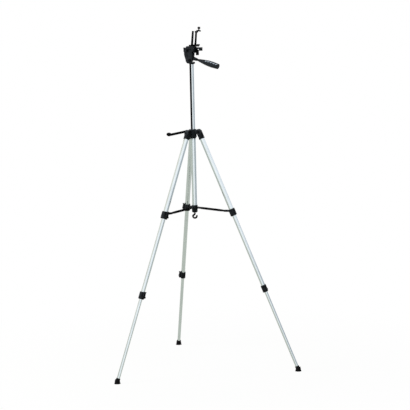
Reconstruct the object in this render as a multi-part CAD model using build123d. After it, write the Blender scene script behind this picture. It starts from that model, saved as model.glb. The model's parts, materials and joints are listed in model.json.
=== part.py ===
from build123d import *
import math
import os

# Camera tripod with a geared column, a three-way pan head and a phone clamp.
# Sizes are millimetres and degrees. Z is up, the origin is on the floor under the column,
# and the pan handle points along +X. Everything stands as set up, at full spread.

# Clearances
SNUG = 0.02
RUNNING = 0.05
LOOSE = 0.3

# Stance
PIVOT_HEIGHT = 1138.0
SPREAD_ANGLE = 22.64
LEFT_AZIMUTH = 251.4
LEG_COUNT = 3

# Leg tubes
UPPER_TUBE_OD = 22.5
TUBE_WALL = 1.6
TUBE_OVERLAP = 55.0
TUBE_TOP_DOWN = 15.0

# Leg joints at the crown
CHEEK_RADIUS = 10.5
JOINT_WIDTH = 26.0
JOINT_WALL = 2.25
JOINT_DOWN = 36.0
JOINT_RIM = 4.0
JOINT_RIM_HEIGHT = 4.5
PIVOT_PIN_RADIUS = 2.5
PIVOT_HEAD_RADIUS = 4.4
PIVOT_HEAD_HEIGHT = 1.4

# Lock collars, measured along the leg from its pivot
COLLAR_DOWN = 414.4
LOCK_DOWN = 807.4
LOCK_LENGTH = 34.0
LOCK_WALL = 2.6
LOCK_CORNER = 7.5
LOCK_CHAMFER = 1.6
LOCK_SEAT = 21.0
LEVER_WIDTH = 10.0
LEVER_LENGTH = 26.0
LEVER_THICKNESS = 6.2
LEVER_LIP = 3.0
LEVER_PIVOT_RISE = -7.0
LEVER_CAM_RADIUS = 4.6
LEVER_PIN_RADIUS = 1.8
LEVER_LUG_THICKNESS = 3.0

# Rubber feet
FOOT_RADIUS = 14.5
FOOT_TOP_RADIUS = 10.5
FOOT_STEP = 1.6
FOOT_SHIFT = 4.0
FOOT_SOLE = 3.0
FOOT_BELL = 20.0
FOOT_WALL = 2.2
FOOT_SOCKET = 17.0
FOOT_PAD = 9.0

# Crown
CROWN_RADIUS = 17.0
CROWN_ABOVE = 12.0
CROWN_BELOW = 26.0
CROWN_CHAMFER = 2.0
LUG_THICKNESS = 12.0
LUG_RADIUS = 10.0
LUG_SHOULDER = 22.0
GUIDE_SOCKET = 14.0

# Centre column and its rack
COLUMN_OD = 20.5
COLUMN_WALL = 1.3
COLUMN_OUT = 321.0
COLUMN_LENGTH = 375.0
RACK_WIDTH = 11.0
RACK_BACKING = 1.6
GEAR_MODULE = 1.0
GEAR_ADDENDUM = 0.9
GEAR_DEDENDUM = 1.15
GEAR_BACKLASH = 0.45
GEAR_FLANK = 20.0

# Pinion and crank
PINION_TEETH = 8
PINION_WIDTH = 7.0
STUB_RADIUS = 2.2
STUB_LENGTH = 5.0
PINION_BOSS_WALL = 2.4
PINION_BOSS_REACH = 36.0
CRANK_HUB_REACH = 41.0
CRANK_HUB_LENGTH = 9.4
CRANK_REACH = 68.0
CRANK_LENGTH = 68.0
CRANK_DROOP = 9.5
CRANK_THICKNESS = 10.0
CRANK_HUB_RADIUS = 5.8
CRANK_SPINDLE_RADIUS = 3.0
CRANK_PIN_RADIUS = 2.0
CRANK_KNOB_RADIUS = 9.0
CRANK_KNOB_LENGTH = 23.0

# Column lock knob
LOCK_BOSS_RADIUS = 7.0
LOCK_BOSS_REACH = 29.0
LOCK_STEM_RADIUS = 3.0
LOCK_KNOB_RADIUS = 11.0
LOCK_KNOB_LENGTH = 15.0
LOCK_KNOB_LOBES = 6

# Guide tube, end cap and weight hook
GUIDE_WALL = 1.2
HUB_HALF = 8.0
CAP_CUP = 9.0
CAP_FLOOR = 6.0
CAP_WALL = 1.9
CAP_TAPER = 3.5
HOOK_WIRE_RADIUS = 3.3
HOOK_RADIUS = 9.2
HOOK_NECK = 6.0
HOOK_DROP = 12.0
HOOK_TURN = 30.0
HOOK_HEAD_RADIUS = 5.6
HOOK_HEAD_HEIGHT = 2.5

# Spreader
HUB_LIFT = 12.56
HUB_WALL = 2.6
HUB_PIVOT_RADIUS = 19.0
HUB_EAR_RADIUS = 4.6
EAR_THICKNESS = 3.0
EAR_REACH = 35.0
EAR_RISE = 21.0
EAR_ROOT_RISE = 10.0
EAR_RADIUS = 4.6
RIVET_HEAD_RADIUS = 3.0
RIVET_HEAD_HEIGHT = 1.0
STRUT_THICKNESS = 5.0
STRUT_HEIGHT = 10.4
STRUT_EYE_RADIUS = 4.0
STRUT_TAPER = 24.0
HUB_PIN_RADIUS = 1.5

# Head plug and pan base
PLUG_DEPTH = 18.0
PLUG_FLANGE_RADIUS = 11.2
PLUG_FLANGE = 3.0
PAN_STUD_RADIUS = 4.0
PAN_STUD_LENGTH = 6.4
PAN_DISC_RADIUS = 11.5
PAN_DISC = 6.6
PAN_POST_LENGTH = 16.0
AXLE_RISE = 18.5
POST_TOP_RADIUS = 8.0
AXLE_RADIUS = 3.5
AXLE_HEAD_RADIUS = 6.5
AXLE_HEAD = 2.0
PAN_KNOB_RADIUS = 4.8
PAN_KNOB_LENGTH = 5.0
PAN_SCREW_RADIUS = 2.0

# Tilt body
POST_WIDTH = 10.0
BODY_SIDE = -7.6
CHEEK_THICKNESS = 5.4
CHEEK_FOOT_RADIUS = 18.0
CHEEK_FOOT_RISE = 2.0
CHEEK_REAR = 14.0
FAR_FOOT_RADIUS = 8.0
TABLE_HALF = 26.0
TABLE_WIDTH = 36.6
CHEEK_WAIST = 21.5
TABLE_RISE = 41.0
TABLE_THICKNESS = 11.0
HANDLE_BOSS_RADIUS = 9.5
HANDLE_BOSS_TIP = 6.9
HANDLE_BOSS_REACH = 34.0
HANDLE_RISE = 12.5
HANDLE_SIDE = -5.0
HANDLE_PITCH = 16.2

# Pan handle
HANDLE_ROD_RADIUS = 5.3
HANDLE_LENGTH = 153.0
GRIP_LENGTH = 90.0
GRIP_START_RADIUS = 8.0
GRIP_END_RADIUS = 12.3
GRIP_SWELL = 0.7
GRIP_DIMPLES = 5
GRIP_DIMPLE_TURN = 50.0
GRIP_DIMPLE_LENGTH = 11.0
GRIP_DIMPLE_WIDTH = 5.5
GRIP_DIMPLE_DEPTH = 1.0

# Flip platform and its lock
PLATFORM_LENGTH = 54.0
PLATFORM_WIDTH = 40.0
PLATFORM_THICKNESS = 8.0
PLATFORM_NOSE = 11.0
PLATFORM_TAIL = 12.0
KNUCKLE_RADIUS = 3.6
KNUCKLE_PIN_RADIUS = 1.75
KNUCKLE_LENGTH = 15.0
FLIP_HUB_RADIUS = 5.5
FLIP_STUD_RADIUS = 2.5
FLIP_STUD_LENGTH = 9.0
FLIP_ARM_DROP = 20.0
FLIP_ARM_WIDTH = 8.0
FLIP_ARM_THICKNESS = 6.0
FLIP_ARM_LEAN = 2.5
FLIP_BEAD_RADIUS = 5.5

# Quick-release plate
PLATE_LENGTH = 44.0
PLATE_WIDTH = 34.0
PLATE_THICKNESS = 9.0
PLATE_SEAT = 4.0
PLATE_DRAFT = 15.0
PAD_THICKNESS = 1.5
QUICK_PIN_RADIUS = 2.0
QUICK_LEVER_LENGTH = 26.0
QUICK_LEVER_WIDTH = 9.0
QUICK_LEVER_THICKNESS = 4.5
QUICK_TAB_DROP = 12.0
QUICK_TAB_LENGTH = 15.0
QUICK_TAIL_WIDTH = 15.0
SCREW_RADIUS = 3.175
SCREW_HEAD_RADIUS = 7.5
SCREW_HEAD = 3.0
SCREW_ABOVE = 5.0

# Phone clamp
CLAMP_TURN = 57.0
CLAMP_LEAN = 5.0
CLAMP_OFFSET = 14.0
CLAMP_BASE_RADIUS = 11.0
CLAMP_BASE = 6.0
CLAMP_BAR = 7.0
CLAMP_SPAN = 34.0
CLAMP_HEIGHT = 71.0
CLAMP_JAW_REACH = 22.0
CLAMP_JAW_WIDTH = 26.0
CLAMP_JAW_THICKNESS = 4.5
CLAMP_LIP = 2.2
FINGER_WIDTH = 11.0
FINGER_REACH = 18.0
FINGER_RISE = 5.0
FINGER_ROOT = 4.0
SLEEVE_WALL = 1.2
SLEEVE_HEIGHT = 7.0
KNOB_BALL_RADIUS = 6.8
KNOB_BALL_HEIGHT = 11.0
KNOB_STEM_RADIUS = 2.6
KNOB_STEM = 4.5
KNOB_PAD_RADIUS = 3.6
KNOB_PAD = 1.8

# Sizes that follow from the ones above
LEG_NAMES = ["left", "right", "rear"]
UPPER_R = UPPER_TUBE_OD / 2
MIDDLE_R = UPPER_R - TUBE_WALL - LOOSE
LOWER_R = MIDDLE_R - TUBE_WALL - LOOSE
COLUMN_R = COLUMN_OD / 2
GUIDE_BORE_R = COLUMN_R + LOOSE
GUIDE_R = GUIDE_BORE_R + GUIDE_WALL
GEAR_PITCH = math.pi * GEAR_MODULE
PINION_PITCH_R = PINION_TEETH * GEAR_MODULE / 2
PINION_TIP_R = PINION_PITCH_R + GEAR_ADDENDUM
RACK_TIP_R = math.sqrt(COLUMN_R**2 - (RACK_WIDTH / 2) ** 2) - RUNNING
RACK_PITCH_R = RACK_TIP_R - GEAR_ADDENDUM
PINION_AXIS_R = RACK_PITCH_R + PINION_PITCH_R
JOURNAL_R = PINION_TIP_R + RUNNING
JOURNAL_START = math.sqrt(COLUMN_R**2 - (PINION_AXIS_R - JOURNAL_R) ** 2) + LOOSE
PINION_BOSS_R = JOURNAL_R + RUNNING + PINION_BOSS_WALL
PIVOT_RADIUS = PINION_AXIS_R + PINION_BOSS_R + 2 * LOOSE + CHEEK_RADIUS
LEAN = math.radians(SPREAD_ANGLE)
RIVET_DOWN = COLLAR_DOWN - EAR_RISE
RIVET_OUT = PIVOT_RADIUS + RIVET_DOWN * math.sin(LEAN) - EAR_REACH * math.cos(LEAN)
RIVET_HEIGHT = PIVOT_HEIGHT - RIVET_DOWN * math.cos(LEAN) - EAR_REACH * math.sin(LEAN)
HUB_HEIGHT = RIVET_HEIGHT + HUB_LIFT
COLUMN_TOP = PIVOT_HEIGHT + COLUMN_OUT
CROWN_TOP = PIVOT_HEIGHT + CROWN_ABOVE
CROWN_BOTTOM = PIVOT_HEIGHT - CROWN_BELOW
GUIDE_TOP = CROWN_BOTTOM + GUIDE_SOCKET
CAP_TOP = HUB_HEIGHT - HUB_HALF
GUIDE_BOTTOM = CAP_TOP - CAP_CUP
HUB_BORE_R = GUIDE_R + LOOSE
HUB_R = HUB_BORE_R + HUB_WALL
EAR_GAP = STRUT_THICKNESS / 2 + LOOSE
AXLE_HEIGHT = COLUMN_TOP + AXLE_RISE
TABLE_TOP = AXLE_HEIGHT + TABLE_RISE + TABLE_THICKNESS
CHEEK_INNER = POST_WIDTH / 2 + LOOSE
CHEEK_OUTER = CHEEK_INNER + CHEEK_THICKNESS
FLIP_AXIS_Y = -PLATFORM_WIDTH / 2 - KNUCKLE_RADIUS
FLIP_AXIS_Z = TABLE_TOP + KNUCKLE_RADIUS - LOOSE
PLATFORM_BOTTOM = TABLE_TOP + LOOSE
PLATFORM_TOP = PLATFORM_BOTTOM + PLATFORM_THICKNESS
PLATE_BOTTOM = PLATFORM_TOP - PLATE_SEAT
PLATE_TOP = PLATE_BOTTOM + PLATE_THICKNESS
CLAMP_BOTTOM = PLATE_TOP + PAD_THICKNESS

MIN_Z = (Align.CENTER, Align.CENTER, Align.MIN)
MAX_Z = (Align.CENTER, Align.CENTER, Align.MAX)


def rod(radius, low, high):
    """Round bar along Z between two heights."""
    return Pos(0, 0, low) * Cylinder(radius, high - low, align=MIN_Z)


def rod_x(radius, start, end):
    """Round bar along X between two places."""
    return Rot(0, 90, 0) * rod(radius, start, end)


def rod_y(radius, start, end):
    """Round bar along Y between two places."""
    return Rot(-90, 0, 0) * rod(radius, start, end)


def tube(outer, inner, low, high):
    """Round tube along Z between two heights."""
    return rod(outer, low, high) - rod(inner, low, high)


def block(x, y, z):
    """Box between three (low, high) pairs."""
    centre = [(side[0] + side[1]) / 2 for side in (x, y, z)]
    return Pos(*centre) * Box(x[1] - x[0], y[1] - y[0], z[1] - z[0])


def slab_xz(sketch, low, high):
    """Sketch drawn with its Y as the height, made solid from y = low to y = high."""
    return Pos(0, high, 0) * Rot(90, 0, 0) * extrude(sketch, high - low)


def slab_yz(sketch, low, high):
    """Sketch drawn with its X as Y and its Y as the height, made solid from x = low to x = high."""
    return Pos(low, 0, 0) * Rot(0, 0, 90) * Rot(90, 0, 0) * extrude(sketch, high - low)


def bar_between(start, end, width):
    """Flat shape with round ends from one point to another."""
    run = Vector(*end) - Vector(*start)
    middle = (Vector(*end) + Vector(*start)) * 0.5
    angle = math.degrees(math.atan2(run.Y, run.X))
    return Pos(middle.X, middle.Y) * Rot(0, 0, angle) * SlotCenterToCenter(run.length, width)


def leg_place(azimuth):
    """Leg frame: origin at the pivot, Z up along the leg, X outward, Y sideways."""
    return Rot(0, 0, azimuth) * Pos(PIVOT_RADIUS, 0, PIVOT_HEIGHT) * Rot(0, -SPREAD_ANGLE, 0)


def leg_joint():
    """Fork over the crown's lug, with the socket for the upper tube below it."""
    slot_floor = -LUG_RADIUS - 4 * LOOSE
    fork_low = slot_floor - JOINT_RIM
    socket_r = UPPER_R + JOINT_WALL
    half = JOINT_WIDTH / 2
    profile = Circle(CHEEK_RADIUS) + Pos(0, fork_low / 2) * Rectangle(2 * CHEEK_RADIUS, -fork_low)
    fork = slab_xz(profile, -half, half)
    socket = rod(socket_r, -JOINT_DOWN, slot_floor)
    rim = rod(socket_r + JOINT_RIM / 4, -JOINT_DOWN, -JOINT_DOWN + JOINT_RIM_HEIGHT)
    body = fork + socket + rim
    slot_half = LUG_THICKNESS / 2 + LOOSE
    slot = block((-2 * socket_r, 2 * socket_r), (-slot_half, slot_half), (slot_floor, 2 * CHEEK_RADIUS))
    bore = rod(UPPER_R + SNUG, -JOINT_DOWN, -TUBE_TOP_DOWN)
    hole = rod_y(PIVOT_PIN_RADIUS + RUNNING, -JOINT_WIDTH, JOINT_WIDTH)
    return body - slot - bore - hole


def lock_bore(outer_r, inner_r):
    """Stepped bore of a lock: the wide tube seats above, the narrow one runs through below."""
    half = LOCK_LENGTH / 2
    return rod(outer_r + SNUG, half - LOCK_SEAT, half) + rod(inner_r + LOOSE, -half, half - LOCK_SEAT)


def lock_collar(outer_r, inner_r):
    """Moulded lock with its middle at the origin: the wide tube ends in it, the narrow one slides out."""
    width = 2 * (outer_r + LOCK_WALL)
    half = LOCK_LENGTH / 2
    body = Pos(0, 0, -half) * extrude(RectangleRounded(width, width, LOCK_CORNER), LOCK_LENGTH)
    body = chamfer(body.faces().sort_by(Axis.Z)[-1].edges(), LOCK_CHAMFER)
    body = chamfer(body.faces().sort_by(Axis.Z)[0].edges(), LOCK_CHAMFER)
    pivot_y = width / 2 + LOOSE + LEVER_CAM_RADIUS
    lug_start = LEVER_WIDTH / 2 + LOOSE
    lug = bar_between((width / 4, LEVER_PIVOT_RISE), (pivot_y, LEVER_PIVOT_RISE), 2 * LEVER_CAM_RADIUS)
    for side in (-lug_start - LEVER_LUG_THICKNESS, lug_start):
        body += slab_yz(lug, side, side + LEVER_LUG_THICKNESS)
    body -= lock_bore(outer_r, inner_r)
    lug_end = lug_start + LEVER_LUG_THICKNESS
    return body - Pos(0, pivot_y, LEVER_PIVOT_RISE) * rod_x(LEVER_PIN_RADIUS + RUNNING, -lug_end, lug_end)


def lock_lever(outer_r):
    """Flip lever lying shut along the lock's side, with its cam end and trunnions."""
    face = outer_r + LOCK_WALL + LOOSE
    pivot = (face + LEVER_CAM_RADIUS, LEVER_PIVOT_RISE)
    tip = LEVER_PIVOT_RISE + LEVER_LENGTH
    arm = Polygon(
        (face, LEVER_PIVOT_RISE),
        (face + 2 * LEVER_CAM_RADIUS, LEVER_PIVOT_RISE),
        (face + LEVER_THICKNESS, tip - 2 * LEVER_LIP),
        (face + LEVER_THICKNESS + LEVER_LIP, tip),
        (face + LEVER_LIP, tip),
        (face, tip - LEVER_LIP),
        align=None,
    )
    half = LEVER_WIDTH / 2
    lever = slab_yz(arm + Pos(*pivot) * Circle(LEVER_CAM_RADIUS), -half, half)
    reach = half + LOOSE + LEVER_LUG_THICKNESS
    return lever + Pos(0, *pivot) * rod_x(LEVER_PIN_RADIUS, -reach, reach)


def strut_ears():
    """Two ears on the collar's inner side, with the rivet heads that hold the strut's end."""
    face = UPPER_R + LOCK_WALL
    sketch = bar_between((-face + EAR_RADIUS, EAR_ROOT_RISE), (-EAR_REACH, EAR_RISE), 2 * EAR_RADIUS)
    ears = []
    for side in (-1, 1):
        inner, outer = sorted((side * EAR_GAP, side * (EAR_GAP + EAR_THICKNESS)))
        ears.append(slab_xz(sketch, inner, outer))
        start, end = sorted((side * (EAR_GAP + EAR_THICKNESS), side * (EAR_GAP + EAR_THICKNESS + RIVET_HEAD_HEIGHT)))
        ears.append(Pos(-EAR_REACH, 0, EAR_RISE) * rod_y(RIVET_HEAD_RADIUS, start, end))
    return ears


def upper_collar():
    """Upper lock with the strut's ears and the groove that the strut's end swings through."""
    collar = lock_collar(UPPER_R, MIDDLE_R)
    for ear in strut_ears():
        collar += ear
    groove = block(
        (-2 * EAR_REACH, -UPPER_R - LOCK_WALL / 3),
        (-EAR_GAP, EAR_GAP),
        (-LOCK_LENGTH, LOCK_LENGTH),
    )
    keep = rod(UPPER_R + LOCK_WALL / 3, -LOCK_LENGTH, LOCK_LENGTH)
    return collar - (groove - keep) - lock_bore(UPPER_R, MIDDLE_R)


def foot(place):
    """Rubber foot: a level bell on the floor and a socket that leans with the lower tube."""
    sole_down = PIVOT_HEIGHT / math.cos(LEAN)
    neck_r = LOWER_R + FOOT_WALL
    ground = place * Pos(0, 0, -sole_down)
    centre = (ground * Pos(-FOOT_SHIFT * math.cos(LEAN), 0, 0)).position
    waist_r = FOOT_RADIUS - FOOT_STEP
    with BuildSketch(Plane.XZ) as bell:
        with BuildLine():
            Polyline((0, 0), (FOOT_RADIUS, 0), (FOOT_RADIUS, FOOT_SOLE), (waist_r, FOOT_SOLE))
            TangentArc((waist_r, FOOT_SOLE), (FOOT_TOP_RADIUS, FOOT_BELL), tangent=(0, 1))
            Polyline((FOOT_TOP_RADIUS, FOOT_BELL), (0, FOOT_BELL), (0, 0))
        make_face()
    base = Pos(centre.X, centre.Y, 0) * revolve(bell.sketch, Axis.Z)
    socket = ground * rod(neck_r, -FOOT_RADIUS, FOOT_PAD + FOOT_SOCKET)
    body = base + socket
    room = 4 * FOOT_RADIUS
    body -= Pos(centre.X, centre.Y, 0) * Box(room, room, room, align=MAX_Z)
    return body - ground * rod(LOWER_R + SNUG, FOOT_PAD, FOOT_PAD + FOOT_SOCKET)


def leg(name, azimuth):
    """All pieces of one leg, in place."""
    place = leg_place(azimuth)
    sole_down = PIVOT_HEIGHT / math.cos(LEAN)
    seat = LOCK_LENGTH / 2 - LOCK_SEAT
    collar_at = place * Pos(0, 0, -COLLAR_DOWN)
    lock_at = place * Pos(0, 0, -LOCK_DOWN)
    middle_top = -COLLAR_DOWN + TUBE_OVERLAP
    lower_top = -LOCK_DOWN + TUBE_OVERLAP
    return {
        f"{name}_leg_joint": place * leg_joint(),
        f"{name}_upper_tube": place * tube(UPPER_R, UPPER_R - TUBE_WALL, -COLLAR_DOWN + seat, -TUBE_TOP_DOWN),
        f"{name}_upper_collar": collar_at * upper_collar(),
        f"{name}_upper_lever": collar_at * lock_lever(UPPER_R),
        f"{name}_middle_tube": place * tube(MIDDLE_R, MIDDLE_R - TUBE_WALL, -LOCK_DOWN + seat, middle_top),
        f"{name}_lower_lock": lock_at * lock_collar(MIDDLE_R, LOWER_R),
        f"{name}_lower_lever": lock_at * lock_lever(MIDDLE_R),
        f"{name}_lower_tube": place * tube(LOWER_R, LOWER_R - TUBE_WALL, -sole_down + FOOT_PAD, lower_top),
        f"{name}_foot": foot(place),
    }


def crank_place():
    """Frame on the pinion's axis: Z points out to the crank, X outward along the left leg."""
    return Rot(0, 0, LEFT_AZIMUTH) * Pos(PINION_AXIS_R, 0, PIVOT_HEIGHT) * Rot(90, 0, 0)


def crown():
    """Spider casting: barrel, three lugs, pinion housing and the boss of the column lock."""
    body = rod(CROWN_RADIUS, CROWN_BOTTOM, CROWN_TOP)
    body = chamfer(body.faces().sort_by(Axis.Z)[-1].edges(), CROWN_CHAMFER)
    end = PIVOT_RADIUS
    lug = Pos(end / 2, 0) * Rectangle(end, 2 * LUG_RADIUS) + Pos(end, 0) * Circle(LUG_RADIUS)
    half = LUG_THICKNESS / 2
    shoulder_end = PIVOT_RADIUS - CHEEK_RADIUS - 2 * LOOSE
    shoulder = block((0, shoulder_end), (-LUG_SHOULDER / 2, LUG_SHOULDER / 2), (-LUG_RADIUS, LUG_RADIUS))
    arm = slab_xz(lug, -half, half) + shoulder
    arm -= Pos(PIVOT_RADIUS, 0, 0) * rod_y(PIVOT_PIN_RADIUS + SNUG, -half, half)
    for index in range(LEG_COUNT):
        body += Rot(0, 0, LEFT_AZIMUTH + index * 360 / LEG_COUNT) * Pos(0, 0, PIVOT_HEIGHT) * arm
    inner_end = -PINION_WIDTH / 2 - LOOSE
    body += crank_place() * rod(PINION_BOSS_R, inner_end - STUB_LENGTH - PINION_BOSS_WALL, PINION_BOSS_REACH)
    lock_at = Rot(0, 0, LEFT_AZIMUTH + 180) * Pos(0, 0, PIVOT_HEIGHT)
    body += lock_at * rod_x(LOCK_BOSS_RADIUS, 0, LOCK_BOSS_REACH)
    body -= rod(GUIDE_BORE_R, CROWN_BOTTOM, CROWN_TOP)
    body -= rod(GUIDE_R + SNUG, CROWN_BOTTOM, GUIDE_TOP)
    body -= crank_place() * rod(JOURNAL_R + RUNNING, inner_end, PINION_BOSS_REACH)
    body -= crank_place() * rod(STUB_RADIUS + RUNNING, inner_end - STUB_LENGTH, inner_end)
    return body - lock_at * rod_x(LOCK_STEM_RADIUS + RUNNING, 0, LOCK_BOSS_REACH)


def leg_pivot_pins():
    """Headed pins that the three leg joints turn on."""
    reach = JOINT_WIDTH / 2 + LOOSE
    pin = rod_y(PIVOT_PIN_RADIUS, -reach, reach)
    for start in (-reach - PIVOT_HEAD_HEIGHT, reach):
        pin += rod_y(PIVOT_HEAD_RADIUS, start, start + PIVOT_HEAD_HEIGHT)
    at = Pos(PIVOT_RADIUS, 0, PIVOT_HEIGHT)
    return [Rot(0, 0, LEFT_AZIMUTH + index * 360 / LEG_COUNT) * at * pin for index in range(LEG_COUNT)]


def end_cap():
    """Cup on the guide tube's end: the spreader hub comes to rest on its rim."""
    outer = GUIDE_R + SNUG + CAP_WALL
    bottom = GUIDE_BOTTOM - CAP_FLOOR
    body = rod(outer, bottom, CAP_TOP)
    body = chamfer(body.faces().sort_by(Axis.Z)[0].edges(), CAP_TAPER)
    body -= rod(GUIDE_R + SNUG, GUIDE_BOTTOM, CAP_TOP)
    return body - rod(HOOK_WIRE_RADIUS + RUNNING, bottom, GUIDE_BOTTOM)


def weight_hook():
    """Bent wire hook whose headed shank turns in the end cap."""
    start = GUIDE_BOTTOM + HOOK_HEAD_HEIGHT
    neck = GUIDE_BOTTOM - CAP_FLOOR - HOOK_NECK
    middle = neck - HOOK_DROP
    with BuildLine(Plane.XZ) as wire:
        Line((0, start), (0, neck))
        bend = TangentArc((0, neck), (-HOOK_RADIUS / 2, (neck + middle) / 2), tangent=(0, -1))
        TangentArc((-HOOK_RADIUS / 2, (neck + middle) / 2), (-HOOK_RADIUS, middle), tangent=bend % 1)
        CenterArc((0, middle), HOOK_RADIUS, 180, 205)
    profile = Plane(origin=(0, 0, start), z_dir=(0, 0, -1)) * Circle(HOOK_WIRE_RADIUS)
    hook = sweep(profile, wire.line)
    head = rod(HOOK_HEAD_RADIUS, GUIDE_BOTTOM + RUNNING, start)
    return Rot(0, 0, HOOK_TURN) * (hook + head)


def column_lock_knob():
    """Lobed hand knob whose stem bears on the column."""
    start = LOCK_BOSS_REACH + LOOSE
    end = start + LOCK_KNOB_LENGTH
    knob = rod_x(LOCK_KNOB_RADIUS, start, end)
    scallop = LOCK_KNOB_RADIUS / 3
    for index in range(LOCK_KNOB_LOBES):
        turn = Rot(index * 360 / LOCK_KNOB_LOBES, 0, 0)
        knob -= turn * Pos(0, LOCK_KNOB_RADIUS + scallop / 2, 0) * rod_x(scallop, start, end)
    stem = rod_x(LOCK_STEM_RADIUS, COLUMN_R + LOOSE / 2, start)
    return Rot(0, 0, LEFT_AZIMUTH + 180) * Pos(0, 0, PIVOT_HEIGHT) * (knob + stem)


def column_tube():
    """Column with the groove that holds the rack."""
    low = COLUMN_TOP - COLUMN_LENGTH
    body = tube(COLUMN_R, COLUMN_R - COLUMN_WALL, low, COLUMN_TOP)
    half = RACK_WIDTH / 2 + SNUG
    groove = block((0, COLUMN_OD), (-half, half), (low, COLUMN_TOP))
    return body - Rot(0, 0, LEFT_AZIMUTH) * groove


def column_rack():
    """Toothed strip between two rails in the column's groove, a tooth gap level with the pinion."""
    low = COLUMN_TOP - COLUMN_LENGTH
    high = COLUMN_TOP
    root = RACK_PITCH_R - GEAR_DEDENDUM
    slope = math.tan(math.radians(GEAR_FLANK))
    half_pitch_width = GEAR_PITCH / 4
    half_tip = half_pitch_width - GEAR_ADDENDUM * slope
    half_root = half_pitch_width + GEAR_DEDENDUM * slope
    first = math.ceil((low + half_root - PIVOT_HEIGHT) / GEAR_PITCH - 0.5)
    last = math.floor((high - half_root - PIVOT_HEIGHT) / GEAR_PITCH - 0.5)
    points = [(root - RACK_BACKING, low), (root, low)]
    for index in range(first, last + 1):
        z = PIVOT_HEIGHT + (index + 0.5) * GEAR_PITCH
        points += [(root, z - half_root), (RACK_TIP_R, z - half_tip)]
        points += [(RACK_TIP_R, z + half_tip), (root, z + half_root)]
    points += [(root, high), (root - RACK_BACKING, high)]
    strip = slab_xz(Polygon(*points, align=None), -RACK_WIDTH / 2, RACK_WIDTH / 2)
    rail = PINION_WIDTH / 2 + 2 * LOOSE
    for side in (-1, 1):
        sides = sorted((side * rail, side * RACK_WIDTH / 2))
        strip += block((root - RACK_BACKING, RACK_TIP_R), sides, (low, high))
    return Rot(0, 0, LEFT_AZIMUTH) * strip


def column_plug():
    """Plug in the column's top, flat beside the rack, with the flange and stud that the head turns on."""
    plug_r = COLUMN_R - COLUMN_WALL - SNUG
    low = COLUMN_TOP - PLUG_DEPTH
    flange_top = COLUMN_TOP + PLUG_FLANGE
    flat = RACK_PITCH_R - GEAR_DEDENDUM - RACK_BACKING - SNUG
    plug = rod(plug_r, low, COLUMN_TOP)
    plug -= Rot(0, 0, LEFT_AZIMUTH) * block((flat, COLUMN_OD), (-COLUMN_R, COLUMN_R), (low, COLUMN_TOP))
    plug += rod(PLUG_FLANGE_RADIUS, COLUMN_TOP, flange_top)
    return plug + rod(PAN_STUD_RADIUS, flange_top, flange_top + PAN_STUD_LENGTH)


def pinion_shaft():
    """Pinion, its journal and the spindle that carries the crank, in one piece."""
    root_r = PINION_PITCH_R - GEAR_DEDENDUM
    slope = math.tan(math.radians(GEAR_FLANK))
    half_pitch_width = GEAR_PITCH / 4 - GEAR_BACKLASH / 2
    half_tip = half_pitch_width - GEAR_ADDENDUM * slope
    half_root = half_pitch_width + GEAR_DEDENDUM * slope / 2
    tooth = Polygon((0, -half_root), (root_r, -half_root), (PINION_TIP_R, -half_tip),
                    (PINION_TIP_R, half_tip), (root_r, half_root), (0, half_root), align=None)
    outline = Sketch() + Circle(root_r)
    for index in range(PINION_TEETH):
        outline += Rot(0, 0, 180 + index * 360 / PINION_TEETH) * tooth
    half = PINION_WIDTH / 2
    shaft = Pos(0, 0, -half) * extrude(outline, PINION_WIDTH)
    shaft += rod(STUB_RADIUS, -half - STUB_LENGTH, JOURNAL_START)
    shaft += rod(JOURNAL_R, JOURNAL_START, PINION_BOSS_REACH)
    spindle_end = CRANK_HUB_REACH + CRANK_HUB_LENGTH / 2
    return crank_place() * (shaft + rod(CRANK_SPINDLE_RADIUS, PINION_BOSS_REACH, spindle_end))


def crank_arm():
    """Crank lever that leans out from the spindle to the pin of its knob."""
    hub_low = CRANK_HUB_REACH - CRANK_HUB_LENGTH / 2
    hub_high = CRANK_HUB_REACH + CRANK_HUB_LENGTH / 2
    half = CRANK_THICKNESS / 2
    hub = rod(CRANK_HUB_RADIUS, hub_low, hub_high)
    outline = make_hull(
        (Pos(0, CRANK_HUB_REACH) * Circle(CRANK_HUB_RADIUS * 0.8)).edges()
        + (Pos(CRANK_LENGTH, CRANK_REACH) * Circle(half)).edges()
    )
    arm = slab_xz(outline, -half, half)
    pin_end = CRANK_REACH + half + CRANK_KNOB_LENGTH - CRANK_KNOB_RADIUS / 2
    pin = Pos(CRANK_LENGTH, 0) * rod(CRANK_PIN_RADIUS, CRANK_REACH, pin_end)
    turned = Rot(0, 0, -CRANK_DROOP) * (hub + arm + pin)
    return crank_place() * (turned - rod(CRANK_SPINDLE_RADIUS + SNUG, 0, hub_high))


def crank_knob():
    """Barrel knob that spins on the crank's pin."""
    start = CRANK_REACH + CRANK_THICKNESS / 2 + LOOSE
    end = start + CRANK_KNOB_LENGTH
    ends_r = CRANK_KNOB_RADIUS * 0.68
    with BuildSketch(Plane.XZ) as half_section:
        with BuildLine():
            Polyline((ends_r, start), (0, start), (0, end), (ends_r, end))
            ThreePointArc((ends_r, end), (CRANK_KNOB_RADIUS, (start + end) / 2), (ends_r, start))
        make_face()
    knob = revolve(half_section.sketch, Axis.Z)
    knob -= rod(CRANK_PIN_RADIUS + RUNNING, start, end - CRANK_KNOB_RADIUS / 2 + LOOSE)
    return crank_place() * Rot(0, 0, -CRANK_DROOP) * Pos(CRANK_LENGTH, 0) * knob


def strut_points():
    """Strut ends in the leg's upright plane, as (distance out, height)."""
    return (HUB_PIVOT_RADIUS, HUB_HEIGHT), (RIVET_OUT, RIVET_HEIGHT)


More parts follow.
